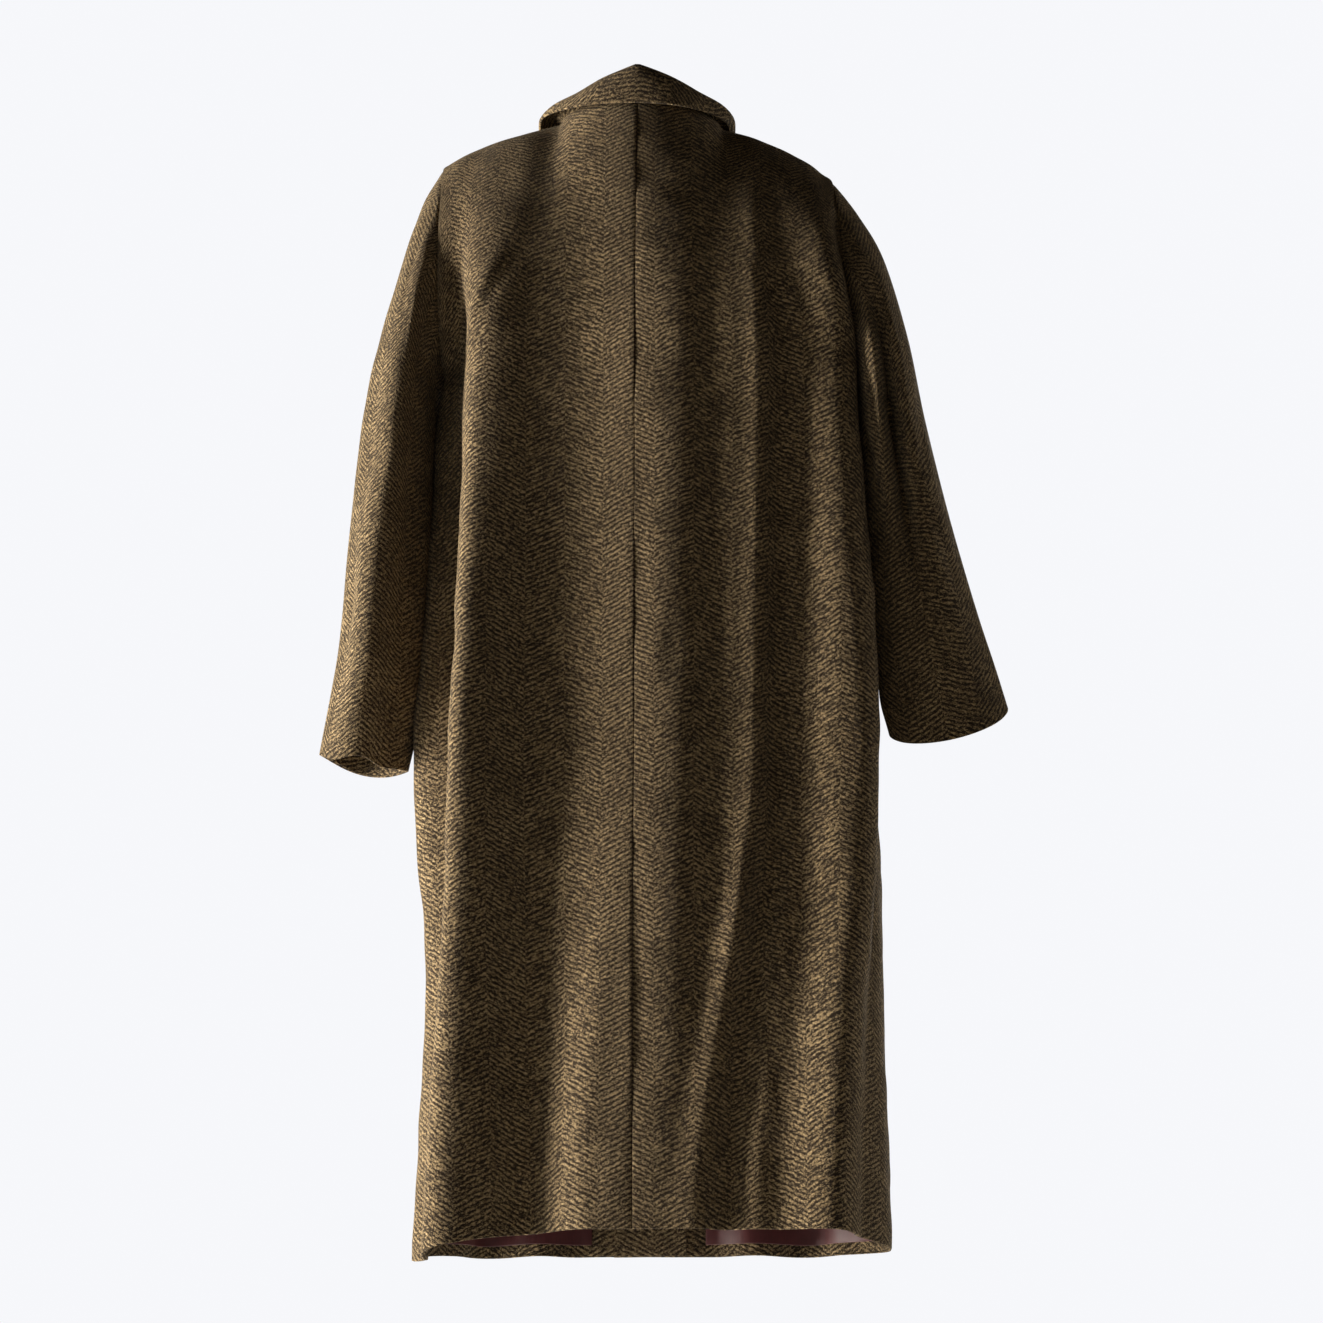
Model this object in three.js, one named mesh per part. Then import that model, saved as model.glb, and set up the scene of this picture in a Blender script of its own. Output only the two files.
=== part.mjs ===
// A long wool overcoat, filled out to the shape it has when worn, and empty inside.
// Millimetres, +Z up. The back faces -Y, the fronts face +Y, the wearer's right is +X.
// The origin is in the middle of the neck opening, 10 mm above the neck ends of the
// shoulder seams, where the wearer's shoulders carry the coat.
import * as THREE from 'three';

// Cloth and seams
const SEAM = 0.3;
const SEAM_DRAW = 0.22;
const TRIM_SPREAD = 0.5;
const SHELL = 2.5;
const FACING = 1.5;
const LINING = 1.0;
const INSIDE_GAP = 0.8;
const LINING_SLACK = 2.4;
const SLACK_FROM = 0.15;
const SLACK_TO = 0.6;
const LINING_ABOVE_HEM = 12;
const FACING_ABOVE_HEM = 3;

// Levels of the body: 0 at the shoulder seam, 1 at the chest, 2 at the hem
const CHEST_Z = -295;
const FOLD_MID_Z = -700;
const HEM_Z = -1195;
const CENTRE_Y = -5;

// Half girths of the body, measured from the centre lines
const SECTIONS = [
  { z: -295, left: 208, right: 221, back: 113, front: 113 },
  { z: -350, left: 215, right: 225, back: 114, front: 114 },
  { z: -440, left: 218, right: 229.5, back: 115, front: 116 },
  { z: -530, left: 223, right: 236.5, back: 117, front: 119 },
  { z: -600, left: 228.8, right: 242, back: 119, front: 122 },
  { z: -660, left: 233.5, right: 244.5, back: 121, front: 125 },
  { z: -745, left: 231, right: 242, back: 123, front: 128 },
  { z: -860, left: 221, right: 244, back: 126, front: 133 },
  { z: -1000, left: 216, right: 246, back: 130, front: 138 },
  { z: -1195, left: 227, right: 249, back: 135, front: 145 },
];

// How square the rings are: 2 is an ellipse, more is boxier
const SQUARE = { left: 2.8, right: 3.3 };

// The hem hangs lower at the sides
const HEM_LINE = [
  { angle: -180, z: -1195 },
  { angle: -125, z: -1198 },
  { angle: -90, z: -1210 },
  { angle: -56, z: -1217 },
  { angle: -30, z: -1197 },
  { angle: 0, z: -1195 },
  { angle: 35, z: -1196 },
  { angle: 65, z: -1204 },
  { angle: 90, z: -1203 },
  { angle: 130, z: -1197 },
  { angle: 180, z: -1195 },
];

// Soft folds that run down the body: place is the girth from the centre back or
// centre front, minus to the wearer's left, and height is how far the cloth stands out
const FOLDS = [
  { name: 'left flank', face: 1, top: -250, mid: -248, hem: -262, wide: 70, high: [-14, -24, -6] },
  { name: 'left crest', face: 1, top: -172, mid: -190, hem: -218, wide: 66, high: [19, 30, 28] },
  { name: 'left hollow', face: 1, top: -66, mid: -76, hem: -112, wide: 70, high: [-9, -13, -32] },
  { name: 'middle swell', face: 1, top: 30, mid: 34, hem: 24, wide: 60, high: [5, 8, 2] },
  { name: 'middle hollow', face: 1, top: 78, mid: 76, hem: 64, wide: 32, high: [-3, -5, -2] },
  { name: 'right ridge', face: 1, top: 136, mid: 130, hem: 62, wide: 28, high: [6, 10, 4] },
  { name: 'right hollow', face: 1, top: 158, mid: 150, hem: 94, wide: 32, high: [-9, -13, -14] },
  { name: 'right crest', face: 1, top: 240, mid: 248, hem: 206, wide: 62, high: [24, 36, 32] },
  { name: 'front left crest', face: -1, top: -150, mid: -165, hem: -185, wide: 60, high: [5, 11, 20] },
  { name: 'front left hollow', face: -1, top: -95, mid: -105, hem: -120, wide: 48, high: [-4, -8, -18] },
  { name: 'front right hollow', face: -1, top: 98, mid: 108, hem: 112, wide: 46, high: [-4, -9, -16] },
  { name: 'front right crest', face: -1, top: 160, mid: 172, hem: 176, wide: 58, high: [5, 10, 18] },
];

// Neck and shoulders
const NECK_HALF = 85;
const BACK_NECK = { y: -72, z: -5 };
const FRONT_NECK = { y: 85, z: -96 };
const NECK_POINT_Z = { left: -6, right: -15 };
const SHOULDER = { left: { x: -209, z: -56 }, right: { x: 203, z: -81 } };
const SHOULDER_ROUND = 0.25;
const ARMHOLE_HALF = 76;
const NECK_DROP = 1.6;
const NECK_SOFT = 0.6;
const NECK_EASE = 0.78;
const SHOULDER_EASE = 0.5;
const EASE_FROM = 0.6 * NECK_HALF;
const EASE_TO = 1.5 * NECK_HALF;
const FOLDS_START = 0.1;

// Front overlap, in degrees about the centre front: the right front lies on the left
const OVERLAP = 9;
const UNDER_DEPTH = 5.6;
const UNDER_RAMP = { from: 24, to: 11 };

// Grids
const LEVELS = [0, 0.035, 0.11, 0.24, 0.42, 0.62, 0.82, 1];
const LOWER_STEPS = 10;
const NECK_COLUMNS = 6;
const BACK_COLUMNS = 8;
const FRONT_COLUMNS = 9;
const OVERLAP_COLUMNS = 4;
const CENTRE_FRONT = 180;
const HALVINGS = 40;

// Steps along a surface's two places, over which its normals are measured
const STEP_U = 0.4;
const STEP_V = 0.003;

// Sleeves: each row is a ring hung between a point on the outer line and one on the
// inner line, with its middle at y, its half depth, and how far its back edge droops
const SLEEVES = {
  left: {
    rings: [
      { at: 0, outX: -209, outZ: -56, inX: -208, inZ: -295, y: -5, half: 76, droop: 0 },
      { at: 0.1, outX: -231, outZ: -102, inX: -213, inZ: -310, y: -10, half: 80, droop: 0 },
      { at: 0.22, outX: -253, outZ: -174, inX: -216, inZ: -336, y: -16, half: 80, droop: 0 },
      { at: 0.36, outX: -274, outZ: -260, inX: -217.6, inZ: -382, y: -20, half: 78, droop: 0 },
      { at: 0.52, outX: -291, outZ: -364, inX: -219, inZ: -446, y: -22, half: 73, droop: 0 },
      { at: 0.68, outX: -303, outZ: -474, inX: -224, inZ: -528, y: -23, half: 67, droop: 0 },
      { at: 0.84, outX: -312, outZ: -588, inX: -232, inZ: -622, y: -22, half: 59, droop: 4 },
      { at: 1, outX: -330, outZ: -697, inX: -243, inZ: -714, y: -20, half: 48, droop: 9 },
    ],
    folds: [
      { name: 'elbow crest', from: 0.45, to: 1.1, angle: 78, wide: 34, high: 8 },
      { name: 'inner hollow', from: 0.1, to: 0.9, angle: 138, wide: 34, high: -7 },
      { name: 'front hollow', from: 0.3, to: 0.85, angle: 262, wide: 40, high: -8 },
      { name: 'outer swell', from: 0.2, to: 0.7, angle: 20, wide: 40, high: 3 },
    ],
  },
  right: {
    rings: [
      { at: 0, outX: 203, outZ: -81, inX: 221, inZ: -295, y: -5, half: 76, droop: 0 },
      { at: 0.1, outX: 231, outZ: -122, inX: 225, inZ: -310, y: -12, half: 80, droop: 0 },
      { at: 0.22, outX: 257, outZ: -176, inX: 226.5, inZ: -334, y: -20, half: 80, droop: 0 },
      { at: 0.36, outX: 280, outZ: -260, inX: 228.5, inZ: -376, y: -26, half: 76, droop: 0 },
      { at: 0.52, outX: 297, outZ: -352, inX: 231.5, inZ: -434, y: -28, half: 70, droop: 0 },
      { at: 0.68, outX: 320, outZ: -456, inX: 237, inZ: -508, y: -30, half: 60, droop: 4 },
      { at: 0.84, outX: 347, outZ: -560, inX: 244, inZ: -596, y: -34, half: 46, droop: 14 },
      { at: 0.93, outX: 364, outZ: -618, inX: 247, inZ: -650, y: -36, half: 38, droop: 21 },
      { at: 1, outX: 376, outZ: -662, inX: 255, inZ: -686, y: -38, half: 31, droop: 26 },
    ],
    folds: [
      { name: 'deep crease', from: 0.1, to: 0.86, angle: 88, wide: 26, high: -27 },
      { name: 'inner roll', from: 0.05, to: 0.7, angle: 124, wide: 30, high: 8 },
      { name: 'outer swell', from: 0.3, to: 0.9, angle: 50, wide: 32, high: 5 },
      { name: 'front hollow', from: 0.25, to: 0.9, angle: 265, wide: 40, high: -9 },
    ],
  },
};
const SLEEVE_RINGS = 16;
const SLEEVE_COLUMNS = 28;

// Collar: sections round the neck from the centre back. The stand rises from the neck
// seam to the roll, and the fall comes down outside it to the edge
const COLLAR = [
  { at: 0, rollOut: 9, rollUp: 34, edgeX: 0, edgeY: -92, edgeZ: -17 },
  { at: 20, rollOut: 9, rollUp: 22, edgeX: 37, edgeY: -88, edgeZ: -16 },
  { at: 42, rollOut: 8, rollUp: 10.5, edgeX: 73, edgeY: -70, edgeZ: -14 },
  { at: 66, rollOut: 7, rollUp: 9, edgeX: 97, edgeY: -40, edgeZ: -10 },
  { at: 90, rollOut: 7, rollUp: 9.5, edgeX: 106, edgeY: -4, edgeZ: -8 },
  { at: 115, rollOut: 8, rollUp: 11, edgeX: 106, edgeY: 44, edgeZ: -32 },
  { at: 135, rollOut: 8, rollUp: 11, edgeX: 94, edgeY: 76, edgeZ: -70 },
  { at: 155, rollOut: 8, rollUp: 10, edgeX: 76, edgeY: 99, edgeZ: -122 },
  { at: 168, rollOut: 7, rollUp: 9, edgeX: 56, edgeY: 110, edgeZ: -156 },
  { at: 176, rollOut: 6, rollUp: 8, edgeX: 42, edgeY: 113, edgeZ: -166 },
];
const COLLAR_THICK = 3;
const COLLAR_SEAM_GAP = 0.4;
const COLLAR_SEAM_IN = 1.2;
const COLLAR_STEP = 15;
const COLLAR_PROFILE = 9;
const COLLAR_EDGE_DROP = 7;
const COLLAR_SIDE = { left: 1.03, right: 0.91 };

// How the collar's section runs from the seam over the roll to the edge: out from the
// neck in millimetres, and part of the way up the stand or down the fall
const COLLAR_RUN = {
  stand: { part: 0.55, out: -1.5 },
  turn: { out: -1, up: -2 },
  top: { out: 3.5 },
  shoulder: { part: 0.16, out: 6 },
  fall: { part: 0.55, out: 4.5 },
};

// Buttons down the centre front
const BUTTON = { radius: 14, thick: 4, rim: 1.6, well: 1, sides: 16 };
const BUTTON_LEVELS = [0.3, 0.86, 1.2, 1.42];

// Looks
const WOOL = { color: 0x6b583f, roughness: 0.95, metalness: 0 };
const SATIN = { color: 0x4a1c1e, roughness: 0.5, metalness: 0 };
const HORN = { color: 0x2b1d14, roughness: 0.4, metalness: 0 };

const radians = (degrees) => (degrees * Math.PI) / 180;
const mix = (a, b, t) => a + (b - a) * t;
const clamp = (v, lo, hi) => Math.min(hi, Math.max(lo, v));

function ease(lo, hi, v) {
  const t = clamp((v - lo) / (hi - lo), 0, 1);
  return t * t * (3 - 2 * t);
}

// A smooth curve through one named column of a table, against its key column
function lookup(rows, key, column, at) {
  const last = rows.length - 1;
  const rising = rows[last][key] > rows[0][key];
  const side = rising ? 1 : -1;
  if ((at - rows[0][key]) * side <= 0) return rows[0][column];
  if ((at - rows[last][key]) * side >= 0) return rows[last][column];
  let i = 0;
  while ((at - rows[i + 1][key]) * side > 0) i += 1;
  const slope = (j) => {
    const before = rows[Math.max(j - 1, 0)];
    const after = rows[Math.min(j + 1, last)];
    return (after[column] - before[column]) / (after[key] - before[key]);
  };
  const step = rows[i + 1][key] - rows[i][key];
  const t = (at - rows[i][key]) / step;
  const t2 = t * t;
  const t3 = t2 * t;
  return (
    rows[i][column] * (2 * t3 - 3 * t2 + 1) +
    slope(i) * step * (t3 - 2 * t2 + t) +
    rows[i + 1][column] * (3 * t2 - 2 * t3) +
    slope(i + 1) * step * (t3 - t2)
  );
}

// One value that changes from the chest to the middle and on to the hem
function along(z, top, middle, hem) {
  if (z > FOLD_MID_Z) return mix(middle, top, ease(FOLD_MID_Z, CHEST_Z, z));
  return mix(hem, middle, ease(HEM_Z, FOLD_MID_Z, z));
}

// A rounded bump, 1 in the middle and 0 beyond one width
function bump(distance) {
  const d = Math.abs(distance);
  return d < 1 ? 0.5 + 0.5 * Math.cos(Math.PI * d) : 0;
}

// A plain ring of the body at height z: face 1 is the back and -1 the front
function ring(face, angle, z) {
  const s = Math.sin(radians(angle));
  const c = Math.abs(Math.cos(radians(angle)));
  const side = s < 0 ? 'left' : 'right';
  const width = lookup(SECTIONS, 'z', side, z);
  const depth = lookup(SECTIONS, 'z', face > 0 ? 'back' : 'front', z);
  const n = SQUARE[side];
  const scale = Math.pow(Math.pow(Math.abs(s), n) + Math.pow(c, n), -1 / n);
  const share = s * scale;
  const round = c * scale;
  const out = new THREE.Vector2(
    (Math.sign(s) * Math.pow(Math.abs(share), n - 1)) / width,
    (-face * Math.pow(round, n - 1)) / depth,
  ).normalize();
  const x = width * share;
  const girth = x + Math.sign(s) * depth * (1 - round);
  return { side, share, round, x, depth, out, girth };
}

// How far the folds move the cloth outwards at one place of a ring
function foldHeight(face, girth, z) {
  let height = 0;
  for (const fold of FOLDS) {
    if (fold.face !== face) continue;
    const place = along(z, fold.top, fold.mid, fold.hem);
    height += along(z, ...fold.high) * bump((girth - place) / fold.wide);
  }
  return height;
}

// The upper edge of the body: the neck seam inside NECK_HALF, the shoulder seam outside.
// Lower levels follow it with the neck's curve softened where the two seams meet
function topEdge(face, x, level = 0) {
  const side = x < 0 ? 'left' : 'right';
  const reach = Math.abs(x);
  const neckZ = NECK_POINT_Z[side];
  const neck = face > 0 ? BACK_NECK : FRONT_NECK;
  const room = 1 - (reach / NECK_HALF) ** 2;
  const y = mix(CENTRE_Y, neck.y, Math.sqrt((room + Math.hypot(room, NECK_SOFT * level)) / 2));
  if (room > 0) {
    return new THREE.Vector3(x, y, mix(neckZ, neck.z, Math.sqrt(room) ** NECK_DROP));
  }
  const tip = SHOULDER[side];
  const u = (reach - NECK_HALF) / (Math.abs(tip.x) - NECK_HALF);
  const fall = u * (1 - SHOULDER_ROUND) + SHOULDER_ROUND * u ** 4;
  return new THREE.Vector3(x, y, mix(neckZ, tip.z, fall));
}

// A point of the body's outer surface
function bodyPoint(face, angle, level) {
  if (level > 1) {
    const wrapped = angle > 180 ? angle - 360 : angle < -180 ? angle + 360 : angle;
    const z = mix(CHEST_Z, lookup(HEM_LINE, 'angle', 'z', wrapped), level - 1);
    const here = ring(face, angle, z);
    const fold = foldHeight(face, here.girth, z);
    return new THREE.Vector3(
      here.x + here.out.x * fold,
      CENTRE_Y - face * here.depth * here.round + here.out.y * fold,
      z,
    );
  }
  const chest = ring(face, angle, CHEST_Z);
  const top = topEdge(face, Math.abs(chest.share) * SHOULDER[chest.side].x, level);
  const power = mix(NECK_EASE, SHOULDER_EASE, ease(EASE_FROM, EASE_TO, Math.abs(top.x)));
  const swing = Math.pow(1 - (1 - level) ** 2, power);
  const chestY = CENTRE_Y - face * chest.depth * chest.round;
  const flat = swing * chest.depth * chest.round;
  const open = ARMHOLE_HALF * 2 * Math.sqrt(level * (1 - level));
  const extra = Math.sqrt(flat * flat + (1 - chest.round ** 2) * open * open) - flat;
  const fold = foldHeight(face, chest.girth, CHEST_Z) * ease(FOLDS_START, 1, level);
  return new THREE.Vector3(
    mix(top.x, chest.x, level) + chest.out.x * fold,
    mix(top.y, chestY, swing) - face * extra + chest.out.y * fold,
    mix(top.z, CHEST_Z, level),
  );
}

// A grid of points and outward normals, from a surface over two lists of places
function sample(surface, us, vs, loop) {
  const [uLow, uHigh] = [Math.min(us[0], us.at(-1)), Math.max(us[0], us.at(-1))];
  const [vLow, vHigh] = [vs[0], vs.at(-1)];
  return vs.map((v) =>
    us.map((u) => {
      const right = loop ? u + STEP_U : Math.min(u + STEP_U, uHigh);
      const left = loop ? u - STEP_U : Math.max(u - STEP_U, uLow);
      const below = Math.min(v + STEP_V, vHigh);
      const above = Math.max(v - STEP_V, vLow);
      const across = surface(right, v).sub(surface(left, v));
      const down = surface(u, below).sub(surface(u, above));
      const normal = down.cross(across).normalize();
      return { point: surface(u, v), normal };
    }),
  );
}

// A grid of the body, whose normals lean neither way along the shoulder seam, so that
// the back and the front meet there edge to edge
function bodyGrid(surface, columns, levels) {
  const grid = sample(surface, columns, levels, false);
  for (const { point, normal } of grid[0]) {
    if (Math.abs(point.x) > NECK_HALF - SEAM) normal.setY(0).normalize();
  }
  return grid;
}

// Points of a grid moved in along their normals, by a depth that may change down the grid
function inward(grid, depth) {
  return grid.map((row, r) =>
    row.map(({ point, normal }) => {
      const d = typeof depth === 'number' ? depth : depth(r / (grid.length - 1));
      return { point: point.clone().addScaledVector(normal, -d), normal };
    }),
  );
}

// A row of cells with its first one drawn back along the row, and the next ones moved on
// as far as it takes to stay apart
function drawBack(row, distance) {
  const walked = [0];
  for (let c = 1; c < row.length; c += 1) {
    walked.push(walked[c - 1] + row[c].point.distanceTo(row[c - 1].point));
  }
  return row.map((cell, c) => {
    const place = distance * (1 + c * TRIM_SPREAD);
    if (place <= walked[c]) return cell;
    let i = 0;
    while (walked[i + 1] < place) i += 1;
    const t = (place - walked[i]) / (walked[i + 1] - walked[i]);
    const normal = row[i].normal.clone().lerp(row[i + 1].normal, t).normalize();
    return { point: row[i].point.clone().lerp(row[i + 1].point, t), normal };
  });
}

// Draws the named edges of a grid back by a distance, so that seams stay apart
function trim(grid, edges, distance) {
  let cut = grid;
  if (edges.includes('first')) cut = cut.map((row) => drawBack(row, distance));
  if (edges.includes('last')) {
    cut = cut.map((row) => drawBack(row.slice().reverse(), distance).reverse());
  }
  if (edges.includes('top')) {
    const next = cut[1];
    const top = cut[0].map(({ point, normal }, c) => {
      const way = next[c].point.clone().sub(point).normalize();
      return { point: point.clone().addScaledVector(way, distance), normal };
    });
    cut = [top, ...cut.slice(1)];
  }
  return cut;
}

// A closed wall between an outer grid and the same grid moved in by its thickness
function wall(grid, thickness, loop) {
  const rows = grid.length;
  const columns = grid[0].length;
  const inner = inward(grid, thickness);
  const position = [...grid.flat(), ...inner.flat()].flatMap(({ point }) => point.toArray());
  const half = rows * columns;
  const outerAt = (r, c) => r * columns + (c % columns);
  const innerAt = (r, c) => half + outerAt(r, c);
  const index = [];
  const quad = (a, b, c, d) => index.push(a, b, c, a, c, d);
  const spans = loop ? columns : columns - 1;
  for (let r = 0; r < rows - 1; r += 1) {
    for (let c = 0; c < spans; c += 1) {
      quad(outerAt(r, c), outerAt(r + 1, c), outerAt(r + 1, c + 1), outerAt(r, c + 1));
      quad(innerAt(r, c), innerAt(r, c + 1), innerAt(r + 1, c + 1), innerAt(r + 1, c));
    }
  }
  for (let c = 0; c < spans; c += 1) {
    quad(outerAt(0, c), outerAt(0, c + 1), innerAt(0, c + 1), innerAt(0, c));
    quad(outerAt(rows - 1, c + 1), outerAt(rows - 1, c), innerAt(rows - 1, c), innerAt(rows - 1, c + 1));
  }
  if (!loop) {
    const end = columns - 1;
    for (let r = 0; r < rows - 1; r += 1) {
      quad(outerAt(r + 1, 0), outerAt(r, 0), innerAt(r, 0), innerAt(r + 1, 0));
      quad(outerAt(r, end), outerAt(r + 1, end), innerAt(r + 1, end), innerAt(r, end));
    }
  }
  return solid(position, index);
}

// Triangles as a geometry, turned round where they enclose a negative volume
function solid(position, index) {
  const at = (i) => new THREE.Vector3().fromArray(position, i * 3);
  let volume = 0;
  for (let i = 0; i < index.length; i += 3) {
    volume += at(index[i]).dot(at(index[i + 1]).cross(at(index[i + 2])));
  }
  if (volume < 0) {
    for (let i = 0; i < index.length; i += 3) [index[i], index[i + 1]] = [index[i + 1], index[i]];
  }
  const geometry = new THREE.BufferGeometry();
  geometry.setAttribute('position', new THREE.Float32BufferAttribute(position, 3));
  geometry.setIndex(index);
  geometry.computeVertexNormals();
  return geometry;
}

function steps(from, to, count) {
  return Array.from({ length: count + 1 }, (_, i) => mix(from, to, i / count));
}

// The angle from the centre line of the column that meets the neck seam at a turn
// round the neck, where 0 is its middle and 90 the neck point
function neckAngle(side, turn) {
  const share = (NECK_HALF * Math.sin(radians(turn))) / Math.abs(SHOULDER[side].x);
  const sign = side === 'left' ? -1 : 1;
  let low = 0;
  let high = 90;
  for (let i = 0; i < HALVINGS; i += 1) {
    const middle = (low + high) / 2;
    if (Math.abs(ring(1, sign * middle, CHEST_Z).share) < share) low = middle;
    else high = middle;
  }
  return low;
}

// Columns of the back half panel and of the fronts, from the centre line outwards
function backColumns(side) {
  const neck = steps(0, 90, NECK_COLUMNS).map((turn) => neckAngle(side, turn));
  return [...neck, ...steps(neck.at(-1), 90, BACK_COLUMNS).slice(1)];
}

function frontColumns(side) {
  const turns = steps(90, 0, NECK_COLUMNS).slice(0, -2);
  const neck = turns.map((turn) => 180 - neckAngle(side, turn));
  return [
    ...steps(90, neck[0], FRONT_COLUMNS),
    ...neck.slice(1),
    ...steps(CENTRE_FRONT - OVERLAP, CENTRE_FRONT + OVERLAP, OVERLAP_COLUMNS),
  ];
}

const bodyLevels = [...LEVELS, ...steps(1, 2, LOWER_STEPS).slice(1)];

const backSurface = (u, v) => bodyPoint(1, u, v);
const overSurface = (u, v) => bodyPoint(-1, u, v);

// The left front runs under the right one, so it steps in before the overlap
function underSurface(u, v) {
  const own = Math.max(CENTRE_FRONT - Math.abs(u), 0);
  const step = UNDER_DEPTH * (1 - ease(UNDER_RAMP.to, UNDER_RAMP.from, own));
  const here = ring(-1, u, CHEST_Z);
  return bodyPoint(-1, u, v).add(new THREE.Vector3(-here.out.x * step, -here.out.y * step, 0));
}

// Columns run from left to right as seen from outside, so that layers share one mesh
const signed = (side, list) => (side === 'left' ? list.map((v) => -v).reverse() : list);
const sideEdge = { left: 'last', right: 'first' };

const model = new THREE.Group();

function add(name, geometry, look) {
  const mesh = new THREE.Mesh(geometry, new THREE.MeshStandardMaterial(look));
  mesh.name = name;
  model.add(mesh);
}

// Backs and fronts
function addShell() {
  for (const side of ['left', 'right']) {
    const back = bodyGrid(backSurface, signed(side, backColumns(side)), bodyLevels);
    add(`back_${side}`, wall(trim(back, ['first', 'last', 'top'], SEAM_DRAW), SHELL, false), WOOL);
    const surface = side === 'left' ? underSurface : overSurface;
    const front = bodyGrid(surface, signed(side, frontColumns(side)), bodyLevels);
    add(`front_${side}`, wall(trim(front, [sideEdge[side], 'top'], SEAM_DRAW), SHELL, false), WOOL);
  }
}

// Levels that stop a little above the hem
function levelsAbove(gap) {
  return [...bodyLevels.slice(0, -1), 2 - gap / (CHEST_Z - HEM_Z)];
}

// Facings lie inside the fronts, and the lining covers the rest of the inside
function addInside() {
  const slack = (t) => SHELL + INSIDE_GAP + LINING_SLACK * ease(SLACK_FROM, SLACK_TO, t);
  for (const side of ['left', 'right']) {
    const surface = side === 'left' ? underSurface : overSurface;
    const columns = signed(side, frontColumns(side));
    const split = side === 'left' ? columns.length - FRONT_COLUMNS - 1 : FRONT_COLUMNS;
    const near = (row) => (side === 'left' ? row.slice(0, split + 1) : row.slice(split));
    const far = (row) => (side === 'left' ? row.slice(split) : row.slice(0, split + 1));
    const facing = bodyGrid(surface, columns, levelsAbove(FACING_ABOVE_HEM)).map(near);
    const facingIn = trim(inward(facing, SHELL + INSIDE_GAP), [sideEdge[side], 'top'], 2 * SEAM);
    add(`facing_${side}`, wall(facingIn, FACING, false), WOOL);
    const lining = bodyGrid(surface, columns, levelsAbove(LINING_ABOVE_HEM)).map(far);
    const liningIn = trim(inward(lining, slack), ['first', 'last', 'top'], 2 * SEAM);
    add(`lining_front_${side}`, wall(liningIn, LINING, false), SATIN);
  }
  const across = [...signed('left', backColumns('left')), ...backColumns('right').slice(1)];
  const lining = bodyGrid(backSurface, across, levelsAbove(LINING_ABOVE_HEM));
  const liningIn = trim(inward(lining, slack), ['first', 'last', 'top'], 2 * SEAM);
  add('lining_back', wall(liningIn, LINING, false), SATIN);
}

// A sleeve: angle 0 is its outer line, 90 its back, 180 its inner line, 270 its front
function sleeveSurface(side) {
  const { rings, folds } = SLEEVES[side];
  const sign = side === 'left' ? -1 : 1;
  return (angle, at) => {
    const get = (column) => lookup(rings, 'at', column, at);
    const outer = new THREE.Vector3(get('outX') + sign * SEAM, get('y'), get('outZ'));
    const inner = new THREE.Vector3(get('inX') + sign * SEAM, get('y'), get('inZ'));
    const c = Math.cos(radians(angle));
    const s = Math.sin(radians(angle));
    const half = outer.clone().sub(inner).multiplyScalar(0.5);
    const deep = new THREE.Vector3(0, -get('half'), -get('droop'));
    const out = half.clone().multiplyScalar(c / half.lengthSq());
    out.addScaledVector(deep, s / deep.lengthSq()).normalize();
    let high = 0;
    for (const fold of folds) {
      const turn = ((angle - fold.angle + 540) % 360) - 180;
      const middle = (fold.from + fold.to) / 2;
      high += fold.high * bump(turn / fold.wide) * bump((at - middle) / (fold.to - middle));
    }
    const point = outer.clone().add(inner).multiplyScalar(0.5);
    return point.addScaledVector(half, c).addScaledVector(deep, s).addScaledVector(out, high);
  };
}

function addSleeves() {
  for (const side of ['left', 'right']) {
    const turns = steps(0, 360, SLEEVE_COLUMNS).slice(0, -1);
    const grid = sample(sleeveSurface(side), turns, steps(0, 1, SLEEVE_RINGS), true);
    const facing = side === 'left' ? 1 : -1;
    grid.flat().forEach(({ normal }) => normal.multiplyScalar(facing));
    grid[0].forEach(({ normal }) => normal.setX(0).normalize());
    add(`sleeve_${side}`, wall(grid, SHELL, true), WOOL);
  }
}

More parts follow.
